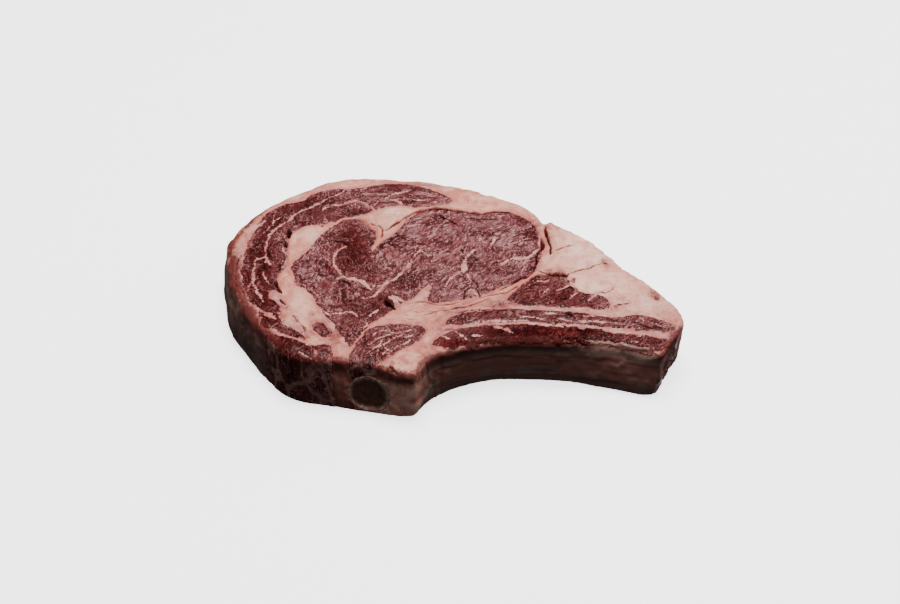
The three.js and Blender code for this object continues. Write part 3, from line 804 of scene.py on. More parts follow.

# %% [markdown]
# Some places differ in tone only: deep red in a fold of the left lobe and elsewhere, partly painted
# shade where the inner strip slopes down to the rib; grey patches, partly where the cut has dried
# and partly a painted sheen; cream lumps of hard fat; and blood-flushed fat along the edges. Each
# is a soft ellipse.

# %% Tones
TONES = {  # name: [(x, y, reach along x, reach along y, strength), ...]
    "fresh": [(-106, 41, 7, 11, 1), (-104, -44, 8, 13, 1), (109, -61, 24, 7, 0.8), (-58, 18, 11, 27, 1),
             (-111, 6, 10, 31, 1), (-91, 57, 25, 12, 0.9), (-107, -28, 10, 16, 1),
             (-37, -28, 5, 6, 0.9), (-44, -39, 16, 13, 0.8), (-59, -58, 8, 9, 0.8),
             (-33, 76, 13, 4, 0.8), (51, 33, 4, 11, 0.9), (31, 12, 23, 9, 0.35), (-11, -6, 18, 11, 0.3),
             (62, -25, 30, 16, 0.8), (56, -44, 57, 8, 0.7), (64, -55, 72, 8, 1), (-85, -66, 21, 18, 1),
             (-100, -47, 14, 13, 1), (-71, -56, 10, 9, 0.9), (-18, 74, 8, 4, 0.6),
             (-36, -66, 18, 16, 0.5), (-72, 47, 16, 9, 0.6)],
    "deep": [(-114, -18, 5, 9, 0.6), (-119, -11, 3, 11, 0.8), (-69, 0, 5, 8, 0.6),
            (-43, -11, 5, 5, 0.7), (-73, -18, 5, 5, 0.6), (-55, -9, 5, 4, 0.4), (-87, 41, 5, 4, 0.6),
            (27, -39, 7, 4, 0.6), (122, -65, 6, 4, 0.4), (4, 41, 5, 5, 0.6), (-55, -10, 5, 5, 0.4),
            (55, -61, 36, 4, 1), (-106, 41, 6, 11, 0.5), (61, -59, 24, 5, 1), (-104, -44, 7, 11, 0.6),
            (-99, -61, 8, 7, 0.5), (116, -61, 16, 5, 0.6), (-58, 17, 11, 27, 0.5),
            (-46, -32, 22, 22, 0.4), (-39, 66, 31, 8, 0.3), (-72, 43, 13, 9, 0.35), (49, -56, 48, 8, 1),
            (4, -64, 13, 6, 1), (29, -63, 29, 5, 1), (63, -63, 25, 5, 1), (18, -61, 16, 5, 0.6),
            (109, -61, 18, 6, 0.5), (-111, 6, 9, 32, 0.6), (-91, 57, 24, 11, 0.3),
            (-107, -28, 10, 16, 0.6), (62, -25, 29, 14, 0.5), (64, -42, 54, 7, 0.3),
            (42, 46, 10, 4, 0.6), (-37, -28, 5, 5, 0.7), (-110, -15, 6, 20, 0.35),
            (-115, 26, 6, 13, 0.3), (87, -45, 21, 4, 0.3), (-31, 68, 6, 2, 0.5),
            (-85, -67, 18, 13, 0.35), (-55, -82, 8, 4, 0.7), (-36, -65, 17, 14, 0.35)],
    "grey": [(39, -3, 5, 6, 0.8), (-26, 25, 5, 6, 1), (-2, 26, 5, 6, 1), (16, 11, 5, 6, 1),
            (28, 18, 5, 6, 1), (-85, 4, 5, 7, 1), (37, 31, 7, 15, 0.7), (13, 39, 22, 12, 0.5),
            (-14, 39, 16, 9, 0.3), (-79, 0, 8, 11, 0.5), (-32, 30, 5, 8, 0.5), (-69, -28, 8, 8, 0.25),
            (12, -11, 14, 9, 0.25), (-31, 68, 27, 6, 0.2)],
    "cream": [(82, 18, 16, 18, 1), (89, -15, 18, 14, 0.8), (111, -32, 17, 11, 0.7),
             (-35, 51, 7, 9, 0.7), (-80, 30, 8, 8, 0.6), (-86, -32, 5, 11, 0.5)],
    "streaky": [(64, -43, 75, 15, 1), (15, -32, 31, 13, 1), (-17, -39, 18, 11, 0.6),
               (-59, -71, 10, 14, 0.7), (-68, -50, 5, 20, 0.5), (56, -34, 30, 4, 1),
               (-111, 6, 14, 45, 0.35)],
    "blush": [(-51, 41, 4, 4, 0.7), (63, -2, 7, 3, 0.9), (-77, -45, 4, 6, 0.6), (-95, -39, 4, 5, 0.5),
             (-2, -45, 5, 4, 0.8), (-101, -25, 4, 4, 0.5), (33, -32, 10, 4, 1), (31, -32, 11, 4, 0.9),
             (1, -52, 9, 4, 1), (4, -39, 7, 4, 0.7), (-65, -59, 4, 8, 0.9), (-128, 11, 3, 7, 1),
             (52, 41, 5, 7, 0.8), (-82, -59, 5, 5, 0.8), (-11, -71, 8, 6, 0.7), (-2, -72, 6, 4, 0.8),
             (128, -54, 5, 6, 0.8), (93, 5, 3, 4, 1), (120, -24, 3, 5, 0.9), (-127, 17, 2, 8, 0.8),
             (-125, -2, 2, 20, 0.9), (-16, 76, 10, 4, 0.8), (-89, -71, 6, 5, 0.4), (60, 30, 3, 13, 0.7),
             (-36, -81, 17, 4, 0.7), (-117, -41, 6, 13, 0.6), (63, -66, 42, 4, 0.5),
             (-104, -56, 6, 4, 0.6), (109, -65, 18, 4, 0.5), (19, 74, 18, 3, 0.4)],
}


def places_of(obj):
    places = np.zeros(len(obj.data.vertices) * 3, np.float32)
    obj.data.vertices.foreach_get("co", places)
    return places.reshape(-1, 3) / MM


def paint(obj, name, layers):
    """Stores the strongest of the layers at each point."""
    values = np.max(layers, axis=0).astype(np.float32)
    obj.data.attributes.new(name, "FLOAT", "POINT").data.foreach_set("value", values)


def soft_patch(places, middle, reach):
    """1 in the middle of an ellipse or a ball, fading to 0 somewhat past its reach."""
    away = sum(((places[:, axis] - middle[axis]) / reach[axis]) ** 2 for axis in range(len(middle)))
    return np.exp(-(away**1.5) * 0.7)


def ellipses(places, patches):
    return [power * soft_patch(places, (x, y), (rx, ry)) for x, y, rx, ry, power in patches]


flesh_places = places_of(flesh)
for name, patches in TONES.items():
    paint(flesh, name, ellipses(flesh_places, patches))
print("tones:", ", ".join(TONES))

# %% [markdown]
# Two more sets of patches change more than the tone. Here and there the lean reaches farther into
# the fat than its solid does. And a few lumps stand out from the cut: swollen fat by the tail, a
# nodule on the sawn edge and one on the left, the stub of a vessel. A lump is a soft ball that
# pushes the skin outwards.

# %% Wider lean and lumps
WIDER_LEAN = [  # (x, y, reach along x, reach along y, millimetres)
    (-114, 46, 7, 8, 1.8), (-100, 58, 10, 6, 1.8), (-81, 70, 12, 5, 2.2), (-122, 17, 4, 14, 1),
    (87, -45, 42, 7, 0.5), (64, -54, 66, 8, 0.4), (-119, -19, 5, 14, 1.2), (-90, -71, 16, 8, 0.8),
]
LUMPS = {  # name: (x, y, z, reach, height)
    "tail_fat_high": (73, 23, 37, 13, 0.8),
    "tail_fat_low": (85, 0, 37, 11, 1),
    "tail_fat_foot": (107, -27, 36, 12, 0.6),
    "seam_fat": (-81, 29, 37, 8, 0.8),
    "seam_fat_low": (-87, -38, 36, 8, 0.7),
    "wedge_fat": (-35, 51, 37, 8, 0.6),
    "sawn_nodule": (-89, -67, 33, 7, 2.4),
    "left_nodule": (-129, 23, 34, 5, 1.8),
    "vessel": (14, -22, 37, 3.4, 2),
    "sawn_corner": (-30, -83, 35, 7, 0.8),
    "tail_lump": (128, -61, 20, 7, 1.6),
    "tail_foot": (125, -64, 9, 9, 2.6),
    "back_strap": (-36, -61, 36, 9, 0.6),
    "side": (58, -20, 37, 12, 0.7),
}
paint(flesh, "grow", ellipses(flesh_places, WIDER_LEAN))
bulges = [height * soft_patch(flesh_places, (x, y, z), (reach,) * 3)
          for x, y, z, reach, height in LUMPS.values()]
paint(flesh, "bulge", bulges)
print("lumps:", ", ".join(LUMPS))

# %% [markdown]
# The third tree shapes the skin. Lean is cut across its grain here, so bundles of fibre stand up
# as fine crinkles with cracks between them, and it swells a little above the fat beside it. Fat
# is smoother, with soft dents, folds along its seams, and a low roll beside the lean. Each height
# is in millimetres and has its own function.

# %% Heights of lean and fat
def lumpy(tree, place, size):
    """Slow noise, from roughly -1 to 1. The size may be a socket."""
    sockets = {"Vector": place, "Scale": maths(tree, "DIVIDE", 1 / MM, size), "Detail": 1.0}
    return times(tree, minus(tree, add(tree, "ShaderNodeTexNoise", sockets).outputs["Fac"], 0.5), 2.6)


def mixed(tree, factor, a, b):
    return add(tree, "ShaderNodeMix", {0: factor, 2: a, 3: b}).outputs[0]


def inside_lean(tree, upward):
    """Millimetres inside the lean, once the seams of fat and the strips of lean count as well."""
    seam_mm = plus(tree, attribute(tree, "seam_mm"), attribute(tree, "grow"))
    lean_mm = maths(tree, "MINIMUM", seam_mm, times(tree, attribute(tree, "fat_line_mm"), -1.0))
    off_the_top = step(tree, upward, 0.35, 0.1, 0.0, 4.0)
    lean_line = minus(tree, attribute(tree, "lean_line_mm"), off_the_top)
    return maths(tree, "MAXIMUM", lean_mm, lean_line)


def lean_relief(tree, place, lumps, given):
    """Gaps between bundles, lower where the lean is fresh, on the slow swell of the muscle."""
    bundles = minus(tree, fibre_bundles(tree, place, given["Bundle size"]), 0.6)
    calm = step(tree, attribute(tree, "fresh"), 0.0, 1.0, 1.0, 0.4)
    bundles = times(tree, bundles, given["Bundle height"], calm)
    return plus(tree, bundles, times(tree, lumps, given["Lean lumps"], 0.5), given["Lean rise"])


def fat_relief(tree, place, lumps, lean_mm, upward, given):
    dents = times(tree, lumps, given["Fat dents"], 0.5)
    small_dents = times(tree, lumpy(tree, place, 4.0), 0.12)
    folds = noise(tree, along_seams(tree, place, lean_mm), 2.4, 1)
    folds = times(tree, minus(tree, folds, 0.5), given["Fat folds"])
    wall = step(tree, maths(tree, "ABSOLUTE", upward), 0.6, 0.2, 0.0, 0.3)
    wall_dents = times(tree, lumpy(tree, place, 15.0), wall)
    roll = step(tree, lean_mm, -0.3, -1.8, 0.0, 0.45)
    return plus(tree, dents, small_dents, folds, wall_dents, roll)


print("heights of lean and fat ready")

# %% [markdown]
# Creases are cut in from above only. At the sawn ends of the rib the marrow lies half a
# millimetre deeper than the bone round it, and is full of small pits.

# %% Creases and sawn ends
def crease_depth(tree, upward):
    crease = step(tree, attribute(tree, "crease_mm"), -0.5, 0.15)
    return times(tree, crease, step(tree, upward, 0.2, 0.6), attribute(tree, "crease_strength"))


def with_sawn_rib(tree, relief, place, upward):
    inside = attribute(tree, "bone_mm")
    wall = step(tree, maths(tree, "ABSOLUTE", upward), 0.5, 0.3)
    sawn_bone = times(tree, step(tree, inside, 0.0, 0.3), wall)
    pits = step(tree, cells(tree, place, 1.9), 0.15, 0.6)
    hollow = times(tree, step(tree, inside, 1.6, 2.8), minus(tree, times(tree, pits, -0.5), 0.5))
    return mixed(tree, sawn_bone, relief, hollow)


def walls(tree, facing, spot):
    """Which wall of the steak the point lies on, from 0 to 1, for the colours."""
    toward_rib = step(tree, facing["Y"], -0.2, -0.6)
    tail = times(tree, step(tree, facing["X"], 0.35, 0.6), step(tree, spot["Y"], -46 * MM, -50 * MM))
    return {
        "rib_side": times(tree, toward_rib, step(tree, spot["X"], -19 * MM, -14 * MM)),
        "sawn_side": times(tree, toward_rib, step(tree, spot["X"], -14 * MM, -19 * MM)),
        "tail_side": times(tree, tail, step(tree, spot["X"], 80 * MM, 90 * MM)),
        "left_side": times(tree, step(tree, facing["X"], -0.3, -0.7), step(tree, facing["Y"], 0.45, 0.1)),
    }


print("creases, sawn ends and walls ready")

# %% [markdown]
# The tree puts the heights together and moves each point along its normal. Nothing moves on the
# underside, which stays flat on the table. The seed shifts the dents and lumps but not the
# bundles, which have to stay where the colours expect them.

# %% Node tree for the relief
def finish_tree(tree, geometry, given, out):
    """Ends a tree with real mesh in the given material."""
    geometry = add(tree, "GeometryNodeRealizeInstances", {"Geometry": geometry}).outputs[0]
    sockets = {"Geometry": geometry, "Material": given["Material"]}
    tree.links.new(add(tree, "GeometryNodeSetMaterial", sockets).outputs[0], out.inputs[0])


def build_relief():
    inputs = {"Lean rise": ("Float", 0.2), "Bundle size": ("Float", BUNDLE), "Bundle height": ("Float", 0.5),
              "Lump size": ("Float", 11.0), "Lean lumps": ("Float", 0.8), "Fat dents": ("Float", 1.1),
              "Fat folds": ("Float", 1.9), "Seed": ("Float", 0.0), "Material": ("Material", None)}
    tree, given, out = new_tree("meat_relief", inputs)
    place = add(tree, "GeometryNodeInputPosition").outputs[0]
    seeded = vectors(tree, "ADD", place, from_axes(tree, given["Seed"], 0.0, 0.0))
    normal = add(tree, "GeometryNodeInputNormal").outputs[0]
    facing, spot = axes(tree, normal), axes(tree, place)

    lean_mm = inside_lean(tree, facing["Z"])
    lumps = lumpy(tree, seeded, given["Lump size"])
    fat_height = fat_relief(tree, seeded, lumps, lean_mm, facing["Z"], given)
    lean_height = lean_relief(tree, place, lumps, given)
    relief = mixed(tree, step(tree, lean_mm, -0.5, 0.7), fat_height, lean_height)
    from_seam = maths(tree, "ABSOLUTE", plus(tree, lean_mm, 0.2))
    relief = minus(tree, relief, step(tree, from_seam, 0.9, 0.0, 0.0, 0.4))
    relief = minus(tree, relief, crease_depth(tree, facing["Z"]))
    relief = plus(tree, relief, attribute(tree, "bulge"))
    relief = with_sawn_rib(tree, relief, place, facing["Z"])
    off_table = step(tree, spot["Z"], 0.4 * MM, 3 * MM)
    offset = longer(tree, normal, times(tree, relief, off_table, MM))

    geometry = given["Geometry"]
    kept = {"lean_mm": lean_mm, "top": step(tree, facing["Z"], 0.2, 0.6), **walls(tree, facing, spot)}
    for name, value in kept.items():
        geometry = store(tree, geometry, name, value)
    geometry = add(tree, "GeometryNodeSetPosition", {"Geometry": geometry, "Offset": offset}).outputs[0]
    geometry = add(tree, "GeometryNodeSetShadeSmooth", {"Geometry": geometry}).outputs[0]
    finish_tree(tree, geometry, given, out)
    return tree


relief_tree = build_relief()
print("relief inputs:", [item.name for item in relief_tree.interface.items_tree if item.in_out == "INPUT"])

# %% [markdown]
# Raw meat has no single colour. The lean is deep maroon, paler and greyer where air has dried it,
# greyer still in patches of painted sheen, darker and redder where it is fresh, and crossed by
# threads and flecks of marbling, some of the pale flecks being painted glints. The height of the
# bundles picks the tone, so their gaps are painted darker as shade, and slow noise makes one patch
# livelier than another.

# %% Colour of the lean
# The three tones run from the gap between bundles, darkened as painted shade, over its side to the ridge.
DRIED = ((0.080, 0.012, 0.013), (0.225, 0.067, 0.069), (0.50, 0.225, 0.222))  # gap, side, ridge of a bundle
FRESH = ((0.024, 0.0012, 0.0012), (0.092, 0.010, 0.010), (0.20, 0.043, 0.043))
# The greyer colour is partly dried meat and partly a painted sheen. The deeper one is the meat's darker red
# and partly painted shade.
DRIED_AND_SHEEN_GREY, DEEPER = (1.35, 1.85, 1.9), (0.42, 0.11, 0.11)  # multiply the colour
THREAD, FLECK_AND_GLINT = (0.62, 0.31, 0.29), (0.80, 0.47, 0.45)


def read(tree, name):
    return add(tree, "ShaderNodeAttribute", attribute_name=name).outputs["Fac"]


def veins(tree, place, size, width, warp=0.8):
    """Thin wandering threads: where a noise crosses its middle value."""
    spread = maths(tree, "ABSOLUTE", minus(tree, noise(tree, place, size, 3, 0.55, warp), 0.5))
    return step(tree, spread, width, 0.0)


def three_tones(tree, level, tones):
    """Goes from the first colour through the second to the third as the level goes from 0 to 1."""
    lower = tint(tree, step(tree, level, 0.0, 0.5), tones[0], tones[1])
    return tint(tree, step(tree, level, 0.45, 1.0), lower, tones[2])


def lean_level(tree, place, lean_mm):
    """How light the lean is: bundles, with painted shade in their gaps, patches, and streaks in the narrow
    parts.
    """
    level = times(tree, fibre_bundles(tree, place), 0.85)
    level = plus(tree, level, wobble(tree, fibre_place(tree, place), 2.2, 1.3, 3, 0.6))
    streaks = wobble(tree, along_seams(tree, place, lean_mm), 1.5, 2.2)
    level = plus(tree, level, times(tree, streaks, step(tree, lean_mm, 12, 5)))
    calm = minus(tree, 1.0, times(tree, read(tree, "fresh"), 0.35))
    contrast = times(tree, step(tree, noise(tree, place, 13), 0.35, 0.65, 0.6, 1.3), calm)
    return plus(tree, times(tree, minus(tree, level, 0.45), contrast), 0.45)


def lean_colour(tree, place, lean_mm):
    level = lean_level(tree, place, lean_mm)
    patches = times(tree, step(tree, noise(tree, place, 14), 0.48, 0.64), 0.8)
    fresh = maths(tree, "MAXIMUM", read(tree, "fresh"), patches)
    near_seam = times(tree, step(tree, lean_mm, 2.2, 0.3), 0.6)
    fresh = maths(tree, "MAXIMUM", fresh, near_seam)
    colour = tint(tree, fresh, three_tones(tree, level, DRIED), three_tones(tree, level, FRESH))
    # Grey patches: partly dried meat, partly a painted sheen.
    colour = tint(tree, read(tree, "grey"), colour, shaded(tree, colour, DRIED_AND_SHEEN_GREY))
    threads = veins(tree, fibre_place(tree, place), 5, 0.02, 1.0)
    threads = times(tree, threads, step(tree, noise(tree, place, 8), 0.42, 0.56), 0.7)
    colour = tint(tree, threads, colour, THREAD)
    # Pale flecks: marbling, and painted glints on the wet lean.
    flecks_and_glints = step(tree, noise(tree, vectors(tree, "MULTIPLY", place, (1, 0.75, 1)), 0.85, 1), 0.62, 0.74)
    flecks_and_glints = times(tree, flecks_and_glints, step(tree, read(tree, "fresh"), 0.2, 1.0, 0.75, 0.3))
    colour = tint(tree, flecks_and_glints, colour, FLECK_AND_GLINT)
    # Deep patches: the meat's darker red, and painted shade where the inner strip slopes down to the rib.
    return tint(tree, read(tree, "deep"), colour, shaded(tree, colour, DEEPER))


print("colours of lean:", len(DRIED) + len(FRESH), "tones")

# %% [markdown]
# Fat is cream where it is thick and pink along its seams, where it lies in thin sheets between
# the muscles. Streaks of rose run along those sheets, the seams inside the lean are rosy threads,
# and here and there blood has flushed the fat. The hard cream lumps have brighter patches, partly
# paler fat and partly painted highlights.

# %% Colour of the fat
CREAM, PINK, ROSE = (0.97, 0.51, 0.38), (0.72, 0.235, 0.175), (0.34, 0.08, 0.07)
HARD_FAT_AND_HIGHLIGHT = ((0.86, 0.40, 0.30), (1.0, 0.62, 0.50))
SEAM_THREAD = ((0.44, 0.15, 0.13), (0.72, 0.33, 0.30))
FLUSHED, STREAKED, BLOODY = (0.52, 0.17, 0.14), (0.48, 0.16, 0.135), (0.22, 0.045, 0.042)
BLUSH = (0.24, 0.045, 0.04)


def streaky_fat(tree, place, lean_mm, colour):
    """Streaks along the seams, but not in the hard cream lumps."""
    streaks = step(tree, noise(tree, along_seams(tree, place, lean_mm), 1.1, 3, 0.6), 0.48, 0.72)
    streaks = times(tree, streaks, minus(tree, 1.0, read(tree, "cream")))
    streaky = read(tree, "streaky")
    colour = tint(tree, times(tree, streaks, 0.5), colour, ROSE)
    colour = tint(tree, times(tree, streaky, 0.4), colour, STREAKED)
    return tint(tree, times(tree, streaks, streaky, 0.8), colour, BLOODY)


def fat_colour(tree, place, lean_mm):
    cream = read(tree, "cream")
    thick = step(tree, noise(tree, place, 9, 4, 0.6), 0.36, 0.64)
    thick = times(tree, thick, step(tree, lean_mm, -0.6, -3.5), 0.7)
    colour = tint(tree, maths(tree, "MAXIMUM", thick, cream), PINK, CREAM)
    # Hard fat, cream to brighter; the brighter patches are partly painted highlights.
    hard = tint(tree, step(tree, noise(tree, place, 7, 3), 0.35, 0.6), *HARD_FAT_AND_HIGHLIGHT)
    colour = streaky_fat(tree, place, lean_mm, tint(tree, cream, colour, hard))
    wrinkles = veins(tree, along_seams(tree, place, times(tree, lean_mm, 0.35)), 3, 0.02, 0.5)
    colour = tint(tree, times(tree, wrinkles, 0.35), colour, ROSE)
    vein = step(tree, read(tree, "fat_line_mm"), -1.2, 0.0)
    thread = tint(tree, step(tree, noise(tree, place, 6), 0.36, 0.6), *SEAM_THREAD)
    colour = tint(tree, times(tree, vein, 0.85), colour, thread)
    off_veins = minus(tree, 1.0, vein)
    near_lean = times(tree, step(tree, lean_mm, -0.9, 0.3), off_veins, 0.55)
    colour = tint(tree, near_lean, colour, ROSE)
    beside = times(tree, step(tree, lean_mm, -4.5, -0.8), step(tree, noise(tree, place, 6), 0.35, 0.65))
    colour = tint(tree, times(tree, beside, off_veins, 0.5), colour, FLUSHED)
    blush = times(tree, read(tree, "blush"), step(tree, noise(tree, place, 4, 3), 0.3, 0.6), 0.85)
    return tint(tree, blush, colour, BLUSH)


print("colours of fat ready")

# %% [markdown]
# The walls show the meat from other sides. The rib's hollow side is covered by a membrane in
# layers, darkened as painted shade just under the rounded edge. The cut end of the tail has a gap,
# painted dark as shade, that curves down to the rib, with gristle behind it. Elsewhere the fat is
# mostly duller than on the upper face, with painted shade on the left wall and low on the sawn side
# and painted light at the sawn corner. The lean on the walls is painted paler, as light, and rings
# of fat cross the sawn muscles.

# %% Colour of the walls
MEMBRANE = ((0.31, 0.16, 0.13), (0.47, 0.195, 0.16))  # low on the wall, and above
FILM, UPPER_BAND, BAND_LINE = (0.40, 0.32, 0.30), (0.33, 0.21, 0.17), (0.22, 0.09, 0.075)
MEAT_RIM_AND_SHADE, TAIL_RIM = (0.23, 0.095, 0.075), (0.20, 0.045, 0.04)
GRISTLE, GAP_SHADE, BESIDE_RIB = (0.88, 0.64, 0.62), (0.14, 0.09, 0.10), (0.34, 0.16, 0.13)


def between(tree, value, low, high, soft):
    """1 between low and high, fading over soft on either side."""
    return times(tree, step(tree, value, low - soft, low), step(tree, value, high + soft, high))


def rib_wall_colour(tree, place, height):
    """Bands at heights in millimetres, waved a little, and darker layers that lie level."""
    level = plus(tree, height, wobble(tree, place, 14, 5))
    colour = tint(tree, step(tree, level, 6, 11), *MEMBRANE)
    film = times(tree, between(tree, level, 9, 14, 2), step(tree, noise(tree, place, 9, 1), 0.5, 0.62), 0.7)
    colour = tint(tree, film, colour, FILM)
    colour = tint(tree, step(tree, level, 24.5, 27.5), colour, UPPER_BAND)
    # Under the rounded edge: the meat's colour, darkened as painted shade.
    colour = tint(tree, step(tree, height, 29, 32), colour, MEAT_RIM_AND_SHADE)
    colour = tint(tree, times(tree, between(tree, level, 23.2, 24.2, 1.2), 0.6), colour, BAND_LINE)
    layers = noise(tree, vectors(tree, "MULTIPLY", place, (0.1, 0.1, 1)), 2.6, 3, 0.6)
    layers = times(tree, step(tree, layers, 0.45, 0.75), 0.8)
    return tint(tree, layers, colour, shaded(tree, colour, (0.6, 0.45, 0.45)))


def tail_wall_colour(tree, place, height):
    """From the rib along the cut end: bone side, a gap painted dark as shade, gristle, meat."""
    along = vectors(tree, "DOT_PRODUCT", place, (0.56 / MM, 0.83 / MM, 0))
    along = minus(tree, along, 9.5)  # millimetres from the corner under the rib
    below_top = minus(tree, 36, height)
    gap = minus(tree, 17, times(tree, maths(tree, "POWER", below_top, 2), 0.032))
    away = plus(tree, minus(tree, along, gap), wobble(tree, place, 6, 4))
    colour = tint(tree, step(tree, noise(tree, place, 5), 0.42, 0.58), (0.35, 0.12, 0.12), (0.85, 0.48, 0.48))
    gristle = times(tree, step(tree, away, 8, 6), step(tree, height, 31, 28))
    colour = tint(tree, gristle, colour, GRISTLE)
    # The gap is painted dark, as shade.
    colour = tint(tree, step(tree, away, 2.2, 1.0), colour, GAP_SHADE)
    colour = tint(tree, step(tree, away, -1.5, -3.5), colour, BESIDE_RIB)
    return tint(tree, step(tree, height, 31, 34), colour, TAIL_RIM)


def dull_fat_shade_and_light(tree, fat, place, height):
    """Fat on a wall: painted shade on the left and low on the sawn side, painted light at the sawn corner."""
    rightwards = times(tree, axes(tree, place)["X"], 1 / MM)
    sawn = tint(tree, step(tree, height, 4, 28), (0.50, 0.44, 0.44), (1.15, 1.15, 1.15))
    sawn = tint(tree, step(tree, rightwards, -44, -34), sawn, (1.5, 1.75, 1.85))
    dulling_shade_and_light = tint(tree, read(tree, "sawn_side"), (0.92, 0.98, 1.04), sawn)
    dulling_shade_and_light = tint(tree, read(tree, "left_side"), dulling_shade_and_light, (0.36, 0.46, 0.49))
    return shaded(tree, fat, dulling_shade_and_light)


def wall_lean_painted_light(tree, meat, place, side):
    rings = bent(tree, vectors(tree, "MULTIPLY", place, (1, 1, 0.7)), 11, 6)
    rings = step(tree, cells(tree, rings, 15, "DISTANCE_TO_EDGE"), 0.11, 0.03)
    rings = times(tree, rings, side, step(tree, noise(tree, place, 5, 3), 0.2, 0.45), 0.8)
    # The lean on a wall is painted paler, standing in for light the walls don't get.
    meat = tint(tree, side, meat, shaded(tree, meat, (1.7, 1.9, 1.9)))
    return tint(tree, rings, meat, (0.50, 0.27, 0.23))


print("colours of the walls ready")

# %% [markdown]
# The finish puts these together. The stored distance decides between lean and fat, and noise
# frays the line. Then come the rounded edge, darkened in part as painted shade, and the creases,
# which are painted dark as shade, darker where deeper, and don't shine.

# %% Finish of the flesh
# Colours of the rim: its own brown and red, made darker as painted shade.
EDGE_BROWN, EDGE_RED, EDGE_PALE = (0.085, 0.022, 0.018), (0.16, 0.024, 0.022), (0.21, 0.065, 0.055)
# Painted shade in the creases: the first for shallow ones, the second for deep ones.
SHALLOW_CUT, DEEP_CUT = (0.24, 0.11, 0.12), (0.10, 0.028, 0.030)  # multiply the colour


def new_finish(name):
    material = bpy.data.materials.new(name)
    material.use_nodes = True
    tree = material.node_tree
    place = add(tree, "ShaderNodeTexCoord").outputs["Object"]
    return material, tree, tree.nodes["Principled BSDF"].inputs, place


def grey(value):
    return (value,) * 3


def flesh_colour(tree, place, lean_mm, fray, lean):
    height = times(tree, axes(tree, place)["Z"], 1 / MM)
    side = minus(tree, 1.0, read(tree, "top"))
    fat = fat_colour(tree, place, lean_mm)
    fat = tint(tree, side, fat, dull_fat_shade_and_light(tree, fat, place, height))
    fat = tint(tree, read(tree, "rib_side"), fat, rib_wall_colour(tree, place, height))
    meat = wall_lean_painted_light(tree, lean_colour(tree, place, lean_mm), place, side)
    colour = tint(tree, lean, fat, meat)
    colour = tint(tree, read(tree, "tail_side"), colour, tail_wall_colour(tree, place, height))
    # The rounded edge: its own brown and red, and painted shade.
    edge = plus(tree, read(tree, "edge_mm"), times(tree, fray, 1.2))
    edge = times(tree, step(tree, edge, -1.2, 1.0), step(tree, height, 25, 31))
    edge_colour = tint(tree, read(tree, "edge_strength"), EDGE_BROWN, EDGE_RED)
    edge_colour = tint(tree, step(tree, noise(tree, place, 4, 3), 0.56, 0.8), edge_colour, EDGE_PALE)
    edge = times(tree, edge, minus(tree, 1.0, times(tree, lean, 0.4)), 0.9)
    return tint(tree, edge, colour, edge_colour)


def build_meat():
    material, tree, shader, place = new_finish("marbled_meat")
    fray = wobble(tree, place, 1.6, 2.8, 3)
    frayed = plus(tree, read(tree, "lean_mm"), fray)
    lean = step(tree, frayed, -0.3, 0.3)
    colour = flesh_colour(tree, place, frayed, fray, lean)
    # Creases get painted shade, tinted red, and less shine.
    crease = times(tree, step(tree, read(tree, "crease_mm"), -0.75, 0.2), read(tree, "top"))
    crease_shade = tint(tree, step(tree, read(tree, "crease_strength"), 0.5, 1.6), SHALLOW_CUT, DEEP_CUT)
    plug(tree, tint(tree, crease, colour, shaded(tree, colour, crease_shade)), shader["Base Color"])
    plug(tree, step(tree, noise(tree, place, 7, 3), 0.3, 0.7, 0.32, 0.5), shader["Roughness"])
    shine = tint(tree, lean, grey(0.30), tint(tree, read(tree, "deep"), grey(0.13), grey(0.03)))
    plug(tree, tint(tree, crease, shine, grey(0.02)), shader["Specular IOR Level"])
    shader["Subsurface Weight"].default_value = 0.1
    shader["Subsurface Radius"].default_value = (1.0, 0.35, 0.25)
    shader["Subsurface Scale"].default_value = 1.2 * MM
    crinkle = times(tree, lean, fibre_bundles(tree, place))
    bump = add(tree, "ShaderNodeBump", {"Strength": 0.5, "Distance": 0.25 * MM, "Height": crinkle})
    plug(tree, bump.outputs["Normal"], shader["Normal"])
    return material


meat = build_meat()
print("meat finish:", len(meat.node_tree.nodes), "nodes")

# %% [markdown]
# Now the relief tree can run on the skin. Whatever it pushed below the table is lifted back.

# %% Shape the flesh
run_tree(flesh, relief_tree, material=meat)
baked(flesh)
for vertex in flesh.data.vertices:
    vertex.co.z = max(vertex.co.z, 0)
print("shaped flesh:", len(flesh.data.polygons), "faces")

# %% [markdown]
# The skin is still one surface, while the steak is nine muscles and a rib in a web of fat. Each
# solid is a ready cutter once its free faces are pushed out past the skin: what lies inside it is
# that muscle or the rib, and what is left after all the cuts is the fat.

# %% Cutters
CUTTER_REACH = 4 * MM


def cutter_of(node):
    """The solid of a muscle, with the faces that touch nothing pushed outwards."""
    bm = merged(node)
    trees = [BVHTree.FromBMesh(merged(other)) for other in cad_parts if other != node]
    free = {face for face in bm.faces if not lies_against(face, trees)}
    moves = []
    for vertex in bm.verts:
        pull = sum((face.normal * face.calc_area() for face in vertex.link_faces if face in free), Vector())
        if pull.length > 0:
            moves.append((vertex, pull.normalized() * CUTTER_REACH))
    for vertex, move in moves:
        vertex.co += move
    return object_from(bm, node + "_cutter")


def cut(obj, cutter, operation):
    boolean = obj.modifiers.new("cut", "BOOLEAN")
    boolean.operation = operation
    boolean.solver = "MANIFOLD"
    boolean.object = cutter
    return baked(obj)


cutters = {node: cutter_of(node) for node in (*LEAN_NODES, "rib_bone")}
print(len(cutters), "cutters")

# %% [markdown]
# A cut makes new points, which have lost what the skin knew about seams and tones. A fourth tree
# reads every value that the finishes use back from the nearest place on the uncut skin.

